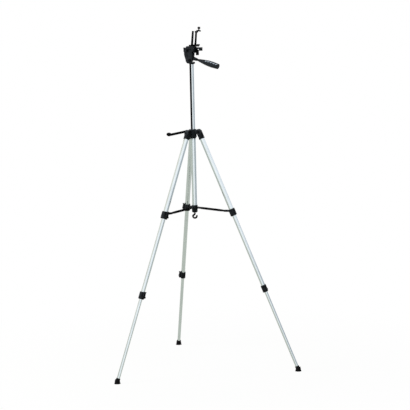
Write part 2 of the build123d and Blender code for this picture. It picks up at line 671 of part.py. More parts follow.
def strut():
    """Spreader strut, bored at the hub; its outer eye carries the flush middle of the rivet."""
    inner, outer = strut_points()
    half = STRUT_THICKNESS / 2
    step = (Vector(*outer) - Vector(*inner)).normalized() * STRUT_TAPER
    rounds = [Pos(*inner) * Circle(STRUT_EYE_RADIUS), Pos(*outer) * Circle(STRUT_EYE_RADIUS)]
    rounds.append(Pos(*(Vector(*inner) + step)) * Circle(STRUT_HEIGHT / 2))
    rounds.append(Pos(*(Vector(*outer) - step)) * Circle(STRUT_HEIGHT / 2))
    outline = make_hull([edge for circle in rounds for edge in circle.edges()])
    outline -= Pos(*inner) * Circle(HUB_PIN_RADIUS + RUNNING)
    return slab_xz(outline, -half, half)


def spreader_hub():
    """Ring that slides on the guide tube, with a pair of ears for each strut."""
    low = HUB_HEIGHT - HUB_HALF
    high = HUB_HEIGHT + HUB_HALF
    body = rod(HUB_R, low, high)
    body = chamfer(body.edges().filter_by(GeomType.CIRCLE), HUB_WALL / 3)
    ear = bar_between((HUB_BORE_R, HUB_HEIGHT), (HUB_PIVOT_RADIUS, HUB_HEIGHT), 2 * HUB_EAR_RADIUS)
    for index in range(LEG_COUNT):
        turn = Rot(0, 0, LEFT_AZIMUTH + index * 360 / LEG_COUNT)
        for low_y in (-EAR_GAP - EAR_THICKNESS, EAR_GAP):
            body += turn * slab_xz(ear, low_y, low_y + EAR_THICKNESS)
    body -= rod(HUB_BORE_R, low, high)
    reach = EAR_GAP + EAR_THICKNESS
    for index in range(LEG_COUNT):
        turn = Rot(0, 0, LEFT_AZIMUTH + index * 360 / LEG_COUNT)
        body -= turn * Pos(HUB_PIVOT_RADIUS, 0, HUB_HEIGHT) * rod_y(HUB_PIN_RADIUS + SNUG, -reach, reach)
    room = Pos(HUB_PIVOT_RADIUS, 0, HUB_HEIGHT) * rod_y(STRUT_EYE_RADIUS + LOOSE, -EAR_GAP, EAR_GAP)
    for index in range(LEG_COUNT):
        body -= Rot(0, 0, LEFT_AZIMUTH + index * 360 / LEG_COUNT) * room
    return body


def hub_pins():
    """Pins of the three struts in the hub's ears."""
    reach = EAR_GAP + EAR_THICKNESS
    pin = Pos(HUB_PIVOT_RADIUS, 0, HUB_HEIGHT) * rod_y(HUB_PIN_RADIUS, -reach, reach)
    return [Rot(0, 0, LEFT_AZIMUTH + index * 360 / LEG_COUNT) * pin for index in range(LEG_COUNT)]


def pan_base():
    """Turntable on the column's stud, with the post that the tilt body straddles to one side."""
    low = COLUMN_TOP + PLUG_FLANGE + RUNNING
    high = low + PAN_DISC
    half_x = PAN_POST_LENGTH / 2
    half_y = POST_WIDTH / 2
    body = rod(PAN_DISC_RADIUS, low, high)
    post = block((-half_x, half_x), (-half_y, half_y), (high - PAN_DISC / 2, AXLE_HEIGHT))
    post += Pos(0, 0, AXLE_HEIGHT) * rod_y(POST_TOP_RADIUS, -half_y, half_y)
    foot = Pos(0, BODY_SIDE, high) * extrude(Rectangle(PAN_POST_LENGTH, POST_WIDTH), -PAN_DISC / 2)
    body += Pos(0, BODY_SIDE, 0) * post - (foot - rod(PAN_DISC_RADIUS, low, high))
    body -= rod(PAN_STUD_RADIUS + RUNNING, low, low + PAN_STUD_LENGTH + LOOSE)
    body -= Pos(0, BODY_SIDE, AXLE_HEIGHT) * rod_y(AXLE_RADIUS + RUNNING, -half_y, half_y)
    return body - Pos(0, 0, low + PAN_DISC / 2) * rod_x(PAN_SCREW_RADIUS + RUNNING, 0, PAN_DISC_RADIUS)


def pan_lock_knob():
    """Small thumb screw that grips the stud."""
    middle = COLUMN_TOP + PLUG_FLANGE + RUNNING + PAN_DISC / 2
    start = PAN_DISC_RADIUS + LOOSE
    end = start + PAN_KNOB_LENGTH
    knob = rod_x(PAN_KNOB_RADIUS, start, end)
    knob = chamfer(knob.faces().sort_by(Axis.X)[-1].edges(), PAN_KNOB_RADIUS / 5)
    return Pos(0, 0, middle) * (knob + rod_x(PAN_SCREW_RADIUS, PAN_STUD_RADIUS + LOOSE, start))


def handle_place():
    """Frame of the pan handle: Z runs out along it from the tilt body."""
    return Pos(0, HANDLE_SIDE, AXLE_HEIGHT + HANDLE_RISE) * Rot(0, 90 + HANDLE_PITCH, 0)


def near_cheek_outline():
    """Shield of the near cheek: broad and bowed in front, straight behind, round below the axle."""
    top = TABLE_RISE + TABLE_THICKNESS
    shoulder = TABLE_RISE - TABLE_THICKNESS / 2
    rear_low = CHEEK_FOOT_RISE - math.sqrt(CHEEK_FOOT_RADIUS**2 - CHEEK_REAR**2)
    with BuildSketch() as shield:
        with BuildLine():
            front = Line((-TABLE_HALF, top), (-TABLE_HALF, shoulder))
            bow = TangentArc(front @ 1, (-CHEEK_WAIST, TABLE_RISE / 3), tangent=(0, -1))
            side = Line(bow @ 1, (-CHEEK_FOOT_RADIUS, CHEEK_FOOT_RISE))
            ThreePointArc(side @ 1, (0, CHEEK_FOOT_RISE - CHEEK_FOOT_RADIUS), (CHEEK_REAR, rear_low))
            Polyline((CHEEK_REAR, rear_low), (CHEEK_REAR, top), front @ 0)
        make_face()
    return shield.sketch


def far_cheek_outline():
    """Far cheek: a straight strap with a small round foot that clears the turntable."""
    top = TABLE_RISE + TABLE_THICKNESS
    width = CHEEK_REAR + FAR_FOOT_RADIUS
    strap = Pos(CHEEK_REAR - width / 2, (HANDLE_RISE + top) / 2) * Rectangle(width, top - HANDLE_RISE)
    foot = make_hull((Circle(FAR_FOOT_RADIUS) + Pos(CHEEK_REAR - 1, HANDLE_RISE) * Circle(1)).edges())
    return strap + foot + Pos(0, HANDLE_RISE / 2) * Rectangle(2 * FAR_FOOT_RADIUS, HANDLE_RISE)


def tilt_body():
    """Two cheeks under a broad table, with the handle's boss behind and hinge knuckles beside."""
    at = Pos(0, 0, AXLE_HEIGHT)
    near = BODY_SIDE - CHEEK_OUTER
    far = BODY_SIDE + CHEEK_OUTER
    body = at * slab_xz(near_cheek_outline(), near, near + CHEEK_THICKNESS)
    body += at * slab_xz(far_cheek_outline(), far - CHEEK_THICKNESS, far)
    half = TABLE_HALF
    table_low = TABLE_TOP - TABLE_THICKNESS
    body += block((-half, half), (-TABLE_WIDTH / 2, TABLE_WIDTH / 2), (table_low, TABLE_TOP))
    wall_start = POST_TOP_RADIUS + 4 * LOOSE
    wall_low = AXLE_HEIGHT + HANDLE_RISE - HANDLE_BOSS_RADIUS
    body += block((wall_start, CHEEK_REAR), (near + LOOSE, far - LOOSE), (wall_low, table_low))
    boss_length = HANDLE_BOSS_REACH - wall_start
    cone = Cone(HANDLE_BOSS_RADIUS, HANDLE_BOSS_TIP, boss_length, align=MIN_Z)
    boss = handle_place() * Pos(0, 0, wall_start) * cone
    body += boss - at * rod_y(wall_start, near - CHEEK_OUTER, far + CHEEK_OUTER)
    for start in (-PLATFORM_LENGTH / 2, PLATFORM_LENGTH / 2 - KNUCKLE_LENGTH):
        ends = (start, start + KNUCKLE_LENGTH)
        body += Pos(0, FLIP_AXIS_Y, FLIP_AXIS_Z) * rod_x(KNUCKLE_RADIUS, *ends)
        body += block(ends, (FLIP_AXIS_Y - KNUCKLE_RADIUS, near + CHEEK_THICKNESS), (table_low, TABLE_TOP))
    body -= at * rod_y(AXLE_RADIUS + SNUG, near, far)
    body -= handle_place() * rod(HANDLE_ROD_RADIUS + RUNNING, 0, HANDLE_BOSS_REACH)
    body -= Pos(0, FLIP_AXIS_Y, FLIP_AXIS_Z) * rod_x(KNUCKLE_PIN_RADIUS + SNUG, -PLATFORM_LENGTH, PLATFORM_LENGTH)
    return body - flip_lock_place() * rod_x(FLIP_STUD_RADIUS + RUNNING, -FLIP_STUD_LENGTH - LOOSE, 0)


def tilt_axle():
    """Headed axle through both cheeks and the post."""
    reach = CHEEK_OUTER
    axle = rod_y(AXLE_RADIUS, -reach, reach)
    for start in (-reach - AXLE_HEAD, reach):
        axle += rod_y(AXLE_HEAD_RADIUS, start, start + AXLE_HEAD)
    return Pos(0, BODY_SIDE, AXLE_HEIGHT) * axle


def handle_rod():
    """Rod whose thread runs in the tilt body's boss."""
    start = POST_TOP_RADIUS + 8 * LOOSE
    return handle_place() * rod(HANDLE_ROD_RADIUS, start, HANDLE_LENGTH - GRIP_LENGTH / 2)


def grip_radius(along):
    """Radius of the grip at a distance from its inner end: it swells, then runs straight."""
    share = min(1, along / (GRIP_SWELL * GRIP_LENGTH))
    return GRIP_START_RADIUS + (GRIP_END_RADIUS - GRIP_START_RADIUS) * math.sin(share * math.pi / 2)


def handle_grip():
    """Swelling grip with a flat end and a row of oval finger recesses along each upper side."""
    start = HANDLE_LENGTH - GRIP_LENGTH
    step = GRIP_LENGTH / (GRIP_DIMPLES + 1)
    flank = [(grip_radius(index * step), start + index * step) for index in range(GRIP_DIMPLES + 2)]
    with BuildSketch(Plane.XZ) as half_section:
        with BuildLine():
            Spline(*flank)
            Polyline((GRIP_END_RADIUS, HANDLE_LENGTH), (0, HANDLE_LENGTH), (0, start), (GRIP_START_RADIUS, start))
        make_face()
    grip = revolve(half_section.sketch, Axis.Z)
    grip -= rod(HANDLE_ROD_RADIUS + SNUG, start, HANDLE_LENGTH - GRIP_LENGTH / 2)
    slot = extrude(SlotOverall(GRIP_DIMPLE_LENGTH, GRIP_DIMPLE_WIDTH), GRIP_END_RADIUS)
    for index in range(1, GRIP_DIMPLES + 1):
        along = start + index * step
        floor = grip_radius(index * step) - GRIP_DIMPLE_DEPTH
        for side in (-GRIP_DIMPLE_TURN, GRIP_DIMPLE_TURN):
            grip -= Rot(0, 0, side) * Rot(0, -90, 0) * Pos(along, 0, floor) * slot
    return handle_place() * grip


def flip_platform():
    """Tilting platform with its middle knuckle, nose, tail and the dovetail seat of the plate."""
    half_x = PLATFORM_LENGTH / 2
    half_y = PLATFORM_WIDTH / 2
    body = block((-half_x, half_x), (-half_y + LOOSE, half_y), (PLATFORM_BOTTOM, PLATFORM_TOP))
    body = fillet(body.edges().filter_by(Axis.Z), 4 * LOOSE)
    nose_half = half_y / 2
    body += block((-half_x - PLATFORM_NOSE, -half_x), (-nose_half, 0), (PLATFORM_TOP - PLATE_SEAT, PLATFORM_TOP))
    tail_half = QUICK_TAIL_WIDTH / 2
    body += block((half_x, half_x + PLATFORM_TAIL), (-tail_half, tail_half), (PLATFORM_BOTTOM, PLATE_BOTTOM))
    middle_half = PLATFORM_LENGTH / 2 - KNUCKLE_LENGTH - LOOSE
    knuckle = Pos(0, FLIP_AXIS_Y, FLIP_AXIS_Z) * rod_x(KNUCKLE_RADIUS, -middle_half, middle_half)
    web = block((-middle_half, middle_half), (FLIP_AXIS_Y, -half_y + LOOSE), (PLATFORM_BOTTOM, FLIP_AXIS_Z + KNUCKLE_RADIUS / 2))
    body += knuckle + web
    body -= Pos(0, FLIP_AXIS_Y, FLIP_AXIS_Z) * rod_x(KNUCKLE_PIN_RADIUS + RUNNING, -middle_half, middle_half)
    body -= plate_blank(LOOSE / 3)
    screw_room = rod(SCREW_HEAD_RADIUS + 4 * LOOSE, PLATFORM_BOTTOM, PLATE_BOTTOM)
    body -= screw_room
    return body - quick_place() * rod(QUICK_PIN_RADIUS + SNUG, -PLATFORM_THICKNESS, 0)


def flip_hinge_pin():
    """Pin through the knuckles of the flip hinge."""
    half = PLATFORM_LENGTH / 2
    return Pos(0, FLIP_AXIS_Y, FLIP_AXIS_Z) * rod_x(KNUCKLE_PIN_RADIUS, -half, half)


def flip_lock_place():
    """Frame of the flip lock's stud, on the back of the table."""
    return Pos(TABLE_HALF, FLIP_ARM_WIDTH / 2, TABLE_TOP - TABLE_THICKNESS / 2 - LOOSE)


def flip_lock_lever():
    """Hanging lever that clamps the platform down: it leans out to a thumb bead."""
    low = LOOSE
    high = LOOSE + FLIP_ARM_THICKNESS
    middle = (low + high) / 2
    half = FLIP_ARM_WIDTH / 2
    body = rod_x(FLIP_HUB_RADIUS, low, high) + rod_x(FLIP_STUD_RADIUS, -FLIP_STUD_LENGTH, low)
    bead_down = FLIP_ARM_DROP - FLIP_BEAD_RADIUS
    outline = make_hull(
        (Pos(middle, 0) * Circle(FLIP_ARM_THICKNESS / 2)).edges()
        + (Pos(middle + FLIP_ARM_LEAN, -bead_down) * Circle(FLIP_ARM_THICKNESS / 2)).edges()
    )
    outline += Pos(middle + FLIP_ARM_LEAN, -bead_down) * Circle(FLIP_BEAD_RADIUS)
    return flip_lock_place() * (body + slab_xz(outline, -half, half))


def plate_blank(grow):
    """Dovetail blank of the quick-release plate, grown by a clearance."""
    base = Rectangle(PLATE_LENGTH + 2 * grow, PLATE_WIDTH + 2 * grow)
    dovetail = extrude(base, PLATE_THICKNESS, taper=PLATE_DRAFT)
    return Pos(0, 0, PLATE_BOTTOM) * dovetail


def quick_plate():
    """Quick-release plate, recessed below for the camera screw."""
    body = plate_blank(0)
    body -= rod(SCREW_RADIUS + RUNNING, PLATE_BOTTOM, PLATE_TOP)
    return body - rod(SCREW_HEAD_RADIUS + LOOSE, PLATE_BOTTOM, PLATE_BOTTOM + SCREW_HEAD)


def quick_pad():
    """Non-slip pad on the plate."""
    shrink = 2 * PLATE_THICKNESS * math.tan(math.radians(PLATE_DRAFT))
    outline = RectangleRounded(PLATE_LENGTH - shrink - 2 * LOOSE, PLATE_WIDTH - shrink - 2 * LOOSE, 3)
    pad = Pos(0, 0, PLATE_TOP) * extrude(outline, PAD_THICKNESS)
    return pad - rod(SCREW_RADIUS + LOOSE, PLATE_TOP, PLATE_TOP + PAD_THICKNESS)


def camera_screw():
    """Camera screw held captive in the plate."""
    head_low = PLATE_BOTTOM + RUNNING
    head_high = PLATE_BOTTOM + SCREW_HEAD - RUNNING
    head = rod(SCREW_HEAD_RADIUS, head_low, head_high)
    slot = block((-SCREW_HEAD_RADIUS, SCREW_HEAD_RADIUS), (-0.8, 0.8), (head_low, head_low + SCREW_HEAD / 3))
    return head - slot + rod(SCREW_RADIUS, head_high, CLAMP_BOTTOM + SCREW_ABOVE)


def quick_place():
    """Frame of the quick-release lever's pin on the platform's tail."""
    return Pos(PLATFORM_LENGTH / 2 + PLATFORM_TAIL / 2, 0, PLATE_BOTTOM)


def quick_lever():
    """Finger lever that wedges the plate in its seat, with a deep finger pad at its end."""
    half = QUICK_LEVER_WIDTH / 2
    low = RUNNING
    high = low + QUICK_LEVER_THICKNESS
    body = rod(half, low, high)
    body += block((0, QUICK_LEVER_LENGTH), (-half, half), (low, high))
    tab_start = QUICK_LEVER_LENGTH - QUICK_TAB_LENGTH
    pad = block((tab_start, QUICK_LEVER_LENGTH), (-half, half), (low - QUICK_TAB_DROP, high))
    body += fillet(pad.edges().filter_by(Axis.Y), QUICK_LEVER_THICKNESS / 3)
    return quick_place() * (body + rod(QUICK_PIN_RADIUS, -PLATFORM_THICKNESS + PLATE_SEAT + LOOSE, low))


def clamp_place():
    """Frame of the phone clamp on the camera screw: X points to the phone's side."""
    return Pos(0, 0, CLAMP_BOTTOM) * Rot(0, 0, CLAMP_TURN)


def clamp_lean():
    """Frame of the clamp's leaning uprights, which stand beside the screw."""
    return clamp_place() * Pos(CLAMP_OFFSET, 0, CLAMP_BAR / 2) * Rot(0, CLAMP_LEAN, 0)


def clamp_frame():
    """Base on the screw, U frame with two uprights, and the hooked lower jaw."""
    outer = CLAMP_SPAN / 2 + CLAMP_BAR / 2
    inner = CLAMP_SPAN / 2 - CLAMP_BAR / 2
    half = CLAMP_BAR / 2
    low = -CLAMP_BAR / 2
    high = CLAMP_HEIGHT - CLAMP_BAR / 2
    shape = Pos(0, (low + high) / 2) * Rectangle(2 * outer, high - low)
    shape = fillet(shape.vertices().sort_by(Axis.Y)[:2], CLAMP_BAR)
    opening = Pos(0, (low + CLAMP_BAR + high) / 2) * Rectangle(2 * inner, high - low - CLAMP_BAR)
    opening = fillet(opening.vertices().sort_by(Axis.Y)[:2], CLAMP_BAR / 2)
    frame = clamp_lean() * slab_yz(shape - opening, -half, half)
    base = rod(CLAMP_BASE_RADIUS, 0, CLAMP_BASE)
    jaw_half = CLAMP_JAW_WIDTH / 2
    jaw_end = CLAMP_OFFSET + half + CLAMP_JAW_REACH
    jaw_low = CLAMP_BASE - CLAMP_JAW_THICKNESS
    base += block((0, jaw_end), (-jaw_half, jaw_half), (jaw_low, CLAMP_BASE))
    base += block((jaw_end - CLAMP_LIP, jaw_end), (-jaw_half, jaw_half), (CLAMP_BASE, CLAMP_BASE + CLAMP_LIP))
    base = fillet(base.edges().filter_by(Axis.Y).sort_by(Axis.X)[-3:], CLAMP_LIP / 4)
    body = frame + clamp_place() * base
    room = 4 * outer
    body -= Pos(0, 0, CLAMP_BOTTOM) * Cylinder(room, room, align=MAX_Z)
    return body - rod(SCREW_RADIUS + RUNNING, CLAMP_BOTTOM, CLAMP_BOTTOM + SCREW_ABOVE + LOOSE)


def finger_top():
    """Top of the upper jaw's finger, above the ends of the uprights."""
    return CLAMP_HEIGHT - CLAMP_BAR / 2 + FINGER_RISE


def knob_x():
    """Place of the clamp screw along the finger."""
    return CLAMP_BAR / 2 + FINGER_REACH * 0.55


def clamp_jaw():
    """Upper jaw: a sleeve that slides on the near upright, with a hooked finger raised on its front."""
    high = finger_top()
    sleeve_high = high - FINGER_RISE - LOOSE
    low = sleeve_high - SLEEVE_HEIGHT
    y = -CLAMP_SPAN / 2
    inner = CLAMP_BAR / 2 + LOOSE
    outer = inner + SLEEVE_WALL
    sleeve = block((-outer, outer), (y - outer, y + outer), (low, sleeve_high))
    root = block((inner, inner + FINGER_ROOT), (y - outer, y + outer), (low, high))
    finger_end = CLAMP_BAR / 2 + FINGER_REACH
    finger_half = FINGER_WIDTH / 2
    finger_low = high - CLAMP_JAW_THICKNESS
    finger = block((inner, finger_end), (y - finger_half, y + finger_half), (finger_low, high))
    lip = block((finger_end - CLAMP_LIP, finger_end), (y - finger_half, y + finger_half), (finger_low - CLAMP_LIP, high))
    bore = block((-inner, inner), (y - inner, y + inner), (low, sleeve_high))
    jaw = sleeve + root + finger + lip - bore
    hole = Pos(knob_x(), y) * rod(KNOB_STEM_RADIUS + RUNNING, finger_low, high)
    return clamp_lean() * (jaw - hole)


def clamp_screw():
    """Ball-headed screw through the finger, with its pressure pad below."""
    high = finger_top()
    finger_low = high - CLAMP_JAW_THICKNESS
    pad_high = finger_low - RUNNING
    stem_top = high + KNOB_STEM
    ends_r = KNOB_BALL_RADIUS * 0.45
    ball_top = stem_top + KNOB_BALL_HEIGHT
    with BuildSketch(Plane.XZ) as half_section:
        with BuildLine():
            Polyline((ends_r, stem_top), (0, stem_top), (0, ball_top), (ends_r, ball_top))
            ThreePointArc((ends_r, ball_top), (KNOB_BALL_RADIUS, (stem_top + ball_top) / 2), (ends_r, stem_top))
        make_face()
    body = revolve(half_section.sketch, Axis.Z)
    body += rod(KNOB_STEM_RADIUS, pad_high, stem_top) + rod(KNOB_PAD_RADIUS, pad_high - KNOB_PAD, pad_high)
    return clamp_lean() * Pos(knob_x(), -CLAMP_SPAN / 2) * body


def tripod():
    """Every piece of the tripod by name."""
    pieces = {}
    for index, name in enumerate(LEG_NAMES):
        azimuth = LEFT_AZIMUTH + index * 360 / LEG_COUNT
        pieces.update(leg(name, azimuth))
        pieces[f"{name}_strut"] = Rot(0, 0, azimuth) * strut()
    pieces["crown"] = crown()
    pieces["leg_pivot_pins"] = Compound(leg_pivot_pins())
    pieces["guide_tube"] = tube(GUIDE_R, GUIDE_BORE_R, GUIDE_BOTTOM, GUIDE_TOP)
    pieces["end_cap"] = end_cap()
    pieces["weight_hook"] = weight_hook()
    pieces["column_lock_knob"] = column_lock_knob()
    pieces["column_tube"] = column_tube()
    pieces["column_rack"] = column_rack()
    pieces["column_plug"] = column_plug()
    pieces["pinion_shaft"] = pinion_shaft()
    pieces["crank_arm"] = crank_arm()
    pieces["crank_knob"] = crank_knob()
    pieces["spreader_hub"] = spreader_hub()
    pieces["hub_pins"] = Compound(hub_pins())
    pieces["pan_base"] = pan_base()
    pieces["pan_lock_knob"] = pan_lock_knob()
    pieces["tilt_body"] = tilt_body()
    pieces["tilt_axle"] = tilt_axle()
    pieces["handle_rod"] = handle_rod()
    pieces["handle_grip"] = handle_grip()
    pieces["flip_platform"] = flip_platform()
    pieces["flip_hinge_pin"] = flip_hinge_pin()
    pieces["flip_lock_lever"] = flip_lock_lever()
    pieces["quick_plate"] = quick_plate()
    pieces["quick_pad"] = quick_pad()
    pieces["quick_lever"] = quick_lever()
    pieces["camera_screw"] = camera_screw()
    pieces["clamp_frame"] = clamp_frame()
    pieces["clamp_jaw"] = clamp_jaw()
    pieces["clamp_screw"] = clamp_screw()
    return pieces


os.makedirs("parts", exist_ok=True)
for node, piece in tripod().items():
    export_step(piece, f"parts/{node}.step")
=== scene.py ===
import json
import math

import bmesh
import bpy
from bmesh.types import BMEdge, BMFace, BMVert
from mathutils import Euler, Matrix, Vector


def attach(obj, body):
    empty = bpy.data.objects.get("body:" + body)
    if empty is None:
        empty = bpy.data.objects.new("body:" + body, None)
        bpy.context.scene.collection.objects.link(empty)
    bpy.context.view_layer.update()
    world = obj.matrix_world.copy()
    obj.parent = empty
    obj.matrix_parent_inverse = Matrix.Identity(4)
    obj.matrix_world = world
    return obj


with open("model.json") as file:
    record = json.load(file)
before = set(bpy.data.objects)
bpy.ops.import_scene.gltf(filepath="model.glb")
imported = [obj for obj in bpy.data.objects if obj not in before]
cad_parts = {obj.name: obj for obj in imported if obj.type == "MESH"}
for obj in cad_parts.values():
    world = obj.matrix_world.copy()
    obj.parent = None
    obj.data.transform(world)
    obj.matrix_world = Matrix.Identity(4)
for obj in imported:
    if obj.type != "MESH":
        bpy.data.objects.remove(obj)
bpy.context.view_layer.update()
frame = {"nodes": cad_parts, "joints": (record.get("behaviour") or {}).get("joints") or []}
nodes = frame["nodes"]
joints = {joint["name"]: joint for joint in frame["joints"]}

# Sizes are in millimetres and angles in degrees. A screw or cap is given as radius and height,
# a bar as its three sizes; an EDGE is the rounding of a bar's edges.

# Socket of a screw head and the rounding of its rim, as shares of its radius or height
SOCKET_WALL = 0.45
SOCKET_DEPTH = 0.55
SCREW_RIM = 0.25

# Leg locks and their levers
LEGS = ("left", "right", "rear")
TUBE_RADIUS = {"upper": 11.25, "middle": 9.35, "lower": 7.45}
LOCK_TUBES = {"upper": ("upper", "middle"), "lower": ("middle", "lower")}
LOCK_BODIES = {"upper": "leg", "lower": "middle"}
LOCK_WALL = 2.6
LOCK_HALF = 17.0
LOCK_GAP = 0.3
LOCK_SCREW = (2.4, 1.0)
LOCK_SCREW_RISES = (-9.0, 9.0)
LOCK_LIP_OUT = 1.3
LOCK_LIP_BEAD = 0.8
LOCK_LIP_DROP = 0.2
LEVER_CAM = 4.6
LEVER_WIDTH = 10.0
LEVER_SLOPE = 0.15
LEVER_PIVOT_RISE = -7.0
LEVER_TRUNNION = 8.3
LEVER_RIB = (LEVER_WIDTH - 2.4, 1.3, 1.2)
LEVER_RIB_RISES = (9.0, 12.0, 15.0)
LEVER_RIB_PROUD = 0.1
LEVER_RIB_EDGE = 0.4
LEVER_CAP = (2.7, 0.9)
LEVER_CAP_GAP = 0.1
LEVER_CAP_STUD = 1.2
LEVER_CAP_STUD_LENGTH = 0.8

# Feet, leg joints and struts
FOOT_NECK = 9.65
FOOT_RING_RISES = (22.6, 24.9)
FOOT_RING_BEAD = 0.6
PIVOT_PIN_END = 14.7
PIVOT_SCREW = (3.6, 0.8)
JOINT_SOCKET = 13.5
JOINT_RIB = (1.1, 1.6, 18.0)
JOINT_RIB_ANGLES = (-40, -14, 14, 40)
JOINT_RIB_DROP = 21.5
JOINT_RIB_EDGE = 0.35
RIVET_PLACE = (-35.0, 0.0, -393.4)
STRUT_HEIGHT = 10.4
STRUT_TAPER = 24.0
STRUT_HALF = 2.5
FLANGE_HEIGHT = 1.3
FLANGE_THICKNESS = 0.7
FLANGE_INSET = 1.0
FLANGE_EDGE = 0.25

# Crown, column, hub and hook
CROWN_RISE = 12.0
CROWN_DROP = 26.0
COLUMN_RADIUS = 10.25
COLUMN_BORE = 10.55
COLUMN_OUT = 321.0
COLUMN_LENGTH = 375.0
BUSHING_OUT = 1.6
BUSHING_BEAD = 0.9
RACK_HALF = 5.52
RACK_LIP = 1.6
RACK_LIP_THICKNESS = 0.6
RACK_LIP_SINK = 0.29
RACK_LIP_EDGE = 0.05
GUIDE_RADIUS = 11.75
FERRULE_WALL = 1.7
FERRULE_SINK = 0.1
FERRULE_RISES = (-5.2, 0.5)
FERRULE_CHAMFER = 0.7
HUB_BORE = 12.05
HUB_WALL = 14.3
HUB_HALF = 8.0
HUB_SLEEVE_RISES = (-0.5, 4.5)
HUB_SLEEVE_CHAMFER = 0.9
HOOK_RADIUS = 9.2
HOOK_WIRE = 3.3
HOOK_TURN = 30.0
HOOK_END = 25.0
HOOK_DROP = 12.0
HOOK_MIDDLE = 41.0
HOOK_DIP = 1.0
HOOK_DIP_NECK = 2.0
HOOK_DIP_TIP = 1.5

# Crank and lock knobs
CRANK_HUB_END = 45.7
CRANK_SCREW = (3.4, 1.0)
CRANK_KNOB_CAP = (2.6, 1.0)
LOCK_KNOB_CAP = (5.0, 1.0)
KNOB_CAP_SINK = 0.1
FLUTE_EDGE = 0.35
PAN_KNOB_RADIUS = 4.8
PAN_FLUTES = 14
PAN_FLUTE = (0.8, 1.2, 3.4)
PAN_FLUTE_DROP = 1.7
BALL_RADIUS = 6.8
BALL_RISE = 12.5
BALL_FLUTES = 12
BALL_FLUTE = (0.9, 1.3, 4.0)
BALL_FLUTE_SINK = 0.3

# Handle: the sleeve's and the pads' places are shares of the grip's length
HANDLE_JOINT_ALONG = 80.0
HANDLE_LENGTH = 153.0
ROD_RADIUS = 5.3
GRIP_LENGTH = 90.0
GRIP_START = HANDLE_LENGTH - GRIP_LENGTH
GRIP_RADII = (8.0, 12.3)
GRIP_SWELL = 0.7
SLEEVE_NECK = -0.16
SLEEVE_BELLY = 0.6
SLEEVE_END = 0.985
SLEEVE_RADII = (6.6, 14.3, 12.7)
SLEEVE_SINK = 1.5
SLEEVE_ROD_SINK = 0.5
SLEEVE_STEPS = 24
SLEEVE_NECK_BEAD = 0.8
GRIP_END_BEAD = 0.6
GRIP_END_BEAD_INSET = 2.5
GRIP_PADS = 5
PAD_START = 0.285
PAD_STEP = 0.157
PAD_SLOPE_STEP = 0.01
PAD_TURN = 46.0
PAD_SLANT = 24.0
PAD_HALVES = (6.2, 1.9)
PAD_SINK = 0.9
PAD_HEIGHT = 1.0
PAD_CROWN = 0.3
PAD_CROWN_INSET = 0.7

# Head
AXLE_END = 12.7
AXLE_CAP = (5.2, 1.2)
CHEEK_OUTER = 10.7
CHEEK_FRONT = 26.0
CHEEK_SHOULDER = 35.5
CHEEK_WAIST = (21.5, 13.67)
CHEEK_FOOT = (18.0, 2.0)
CHEEK_REAR = 14.0
TABLE_RISE = 41.0
RIM_REACH = 4.3
RIM_SEAT = 0.8
RIM_WIDTH = 5.0
RIM_INSET = 0.2
RIM_FOOT_TURN = 70.0
RIM_CORNER = 60.0
RIM_EDGE = 0.6
REAR_COVER = (4.4, 18.0, 13.4)
REAR_COVER_PLACE = (CHEEK_REAR + 1.2, 0.6, 28.2)
REAR_COVER_EDGE = 1.2
FLIP_BOSS = (13.8, 26.0, 8.0)
FLIP_BOSS_PLACE = (-10.1, -3.0, -7.4)
FLIP_BOSS_EDGE = 1.5
FLIP_PADDLE = (10.0, 15.0, 25.0)
FLIP_PADDLE_PLACE = (3.4, -2.5, -10.2)
FLIP_PADDLE_EDGE = 2.0
QUICK_LEVER_END = 26.0
QUICK_RIB = (0.9, 6.4, 1.1)
QUICK_RIB_RISES = (-8.0, -5.2, -2.4, 0.4)
QUICK_RIB_EDGE = 0.3

# Phone clamp
CLAMP_BASE = 6.0
CLAMP_BAR = 7.0
CLAMP_SPAN = 34.0
CLAMP_OFFSET = 14.0
CLAMP_LEAN = 5.0
CLAMP_JAW = (18.5, 36.8)
CLAMP_JAW_HALF = 12.0
JAW_PAD_THICKNESS = 1.0
JAW_PAD_RISE = 0.4
JAW_PAD_EDGE = 0.3
JAW_RIBS = 5
JAW_RIB_WIDTH = 1.2
JAW_RIB_HEIGHT = 0.8
JAW_RIB_INSET = 3.0
JAW_RIB_RISE = 1.0
JAW_RIB_EDGE = 0.25
JAW_LIP = (4.0, 2 * CLAMP_JAW_HALF, 7.0)
JAW_LIP_INSET = 2.1
JAW_LIP_RISE = 0.5
JAW_LIP_EDGE = 0.6
CLAMP_RIBS = {1: 62.0, -1: 14.0}
CLAMP_RIB_DEPTH = 2.2
CLAMP_RIB_WIDTH = 6.6
CLAMP_RIB_TIP = 0.5
CLAMP_RIB_SEAT = 0.2

# Studio, in metres
CAMERA_PLACE = Vector((3.6092, -6.2266, 1.6693))
CAMERA_AIM = Vector((0.0428, 0.0248, 0.7851))
CAMERA_ROLL = -1.226
CAMERA_LENS = 132.79
CAMERA_SENSOR = 36.0
CAMERA_AZIMUTH = math.degrees(math.atan2(CAMERA_PLACE.y, CAMERA_PLACE.x))
FLOOR_HALF = 30.0
FLOOR_DROP = 0.0004
CARD_DISTANCE = 3.4

MM = Matrix.Scale(0.001, 4)
ACROSS = Vector((0, 1, 0))
UP = Vector((0, 0, 1))
MERGE = 0.001


def turn(axis, degrees):
    """Rotation about an axis, in degrees."""
    return Matrix.Rotation(math.radians(degrees), 4, axis)


def shift(x, y, z):
    """Move, in millimetres."""
    return Matrix.Translation((x, y, z))


def joint_point(name):
    """Place of a joint, in millimetres."""
    return Vector(joints[name]["pos_m"]) * 1000


def joint_axis(name):
    """Direction of a joint."""
    return Vector(joints[name]["axis"]).normalized()


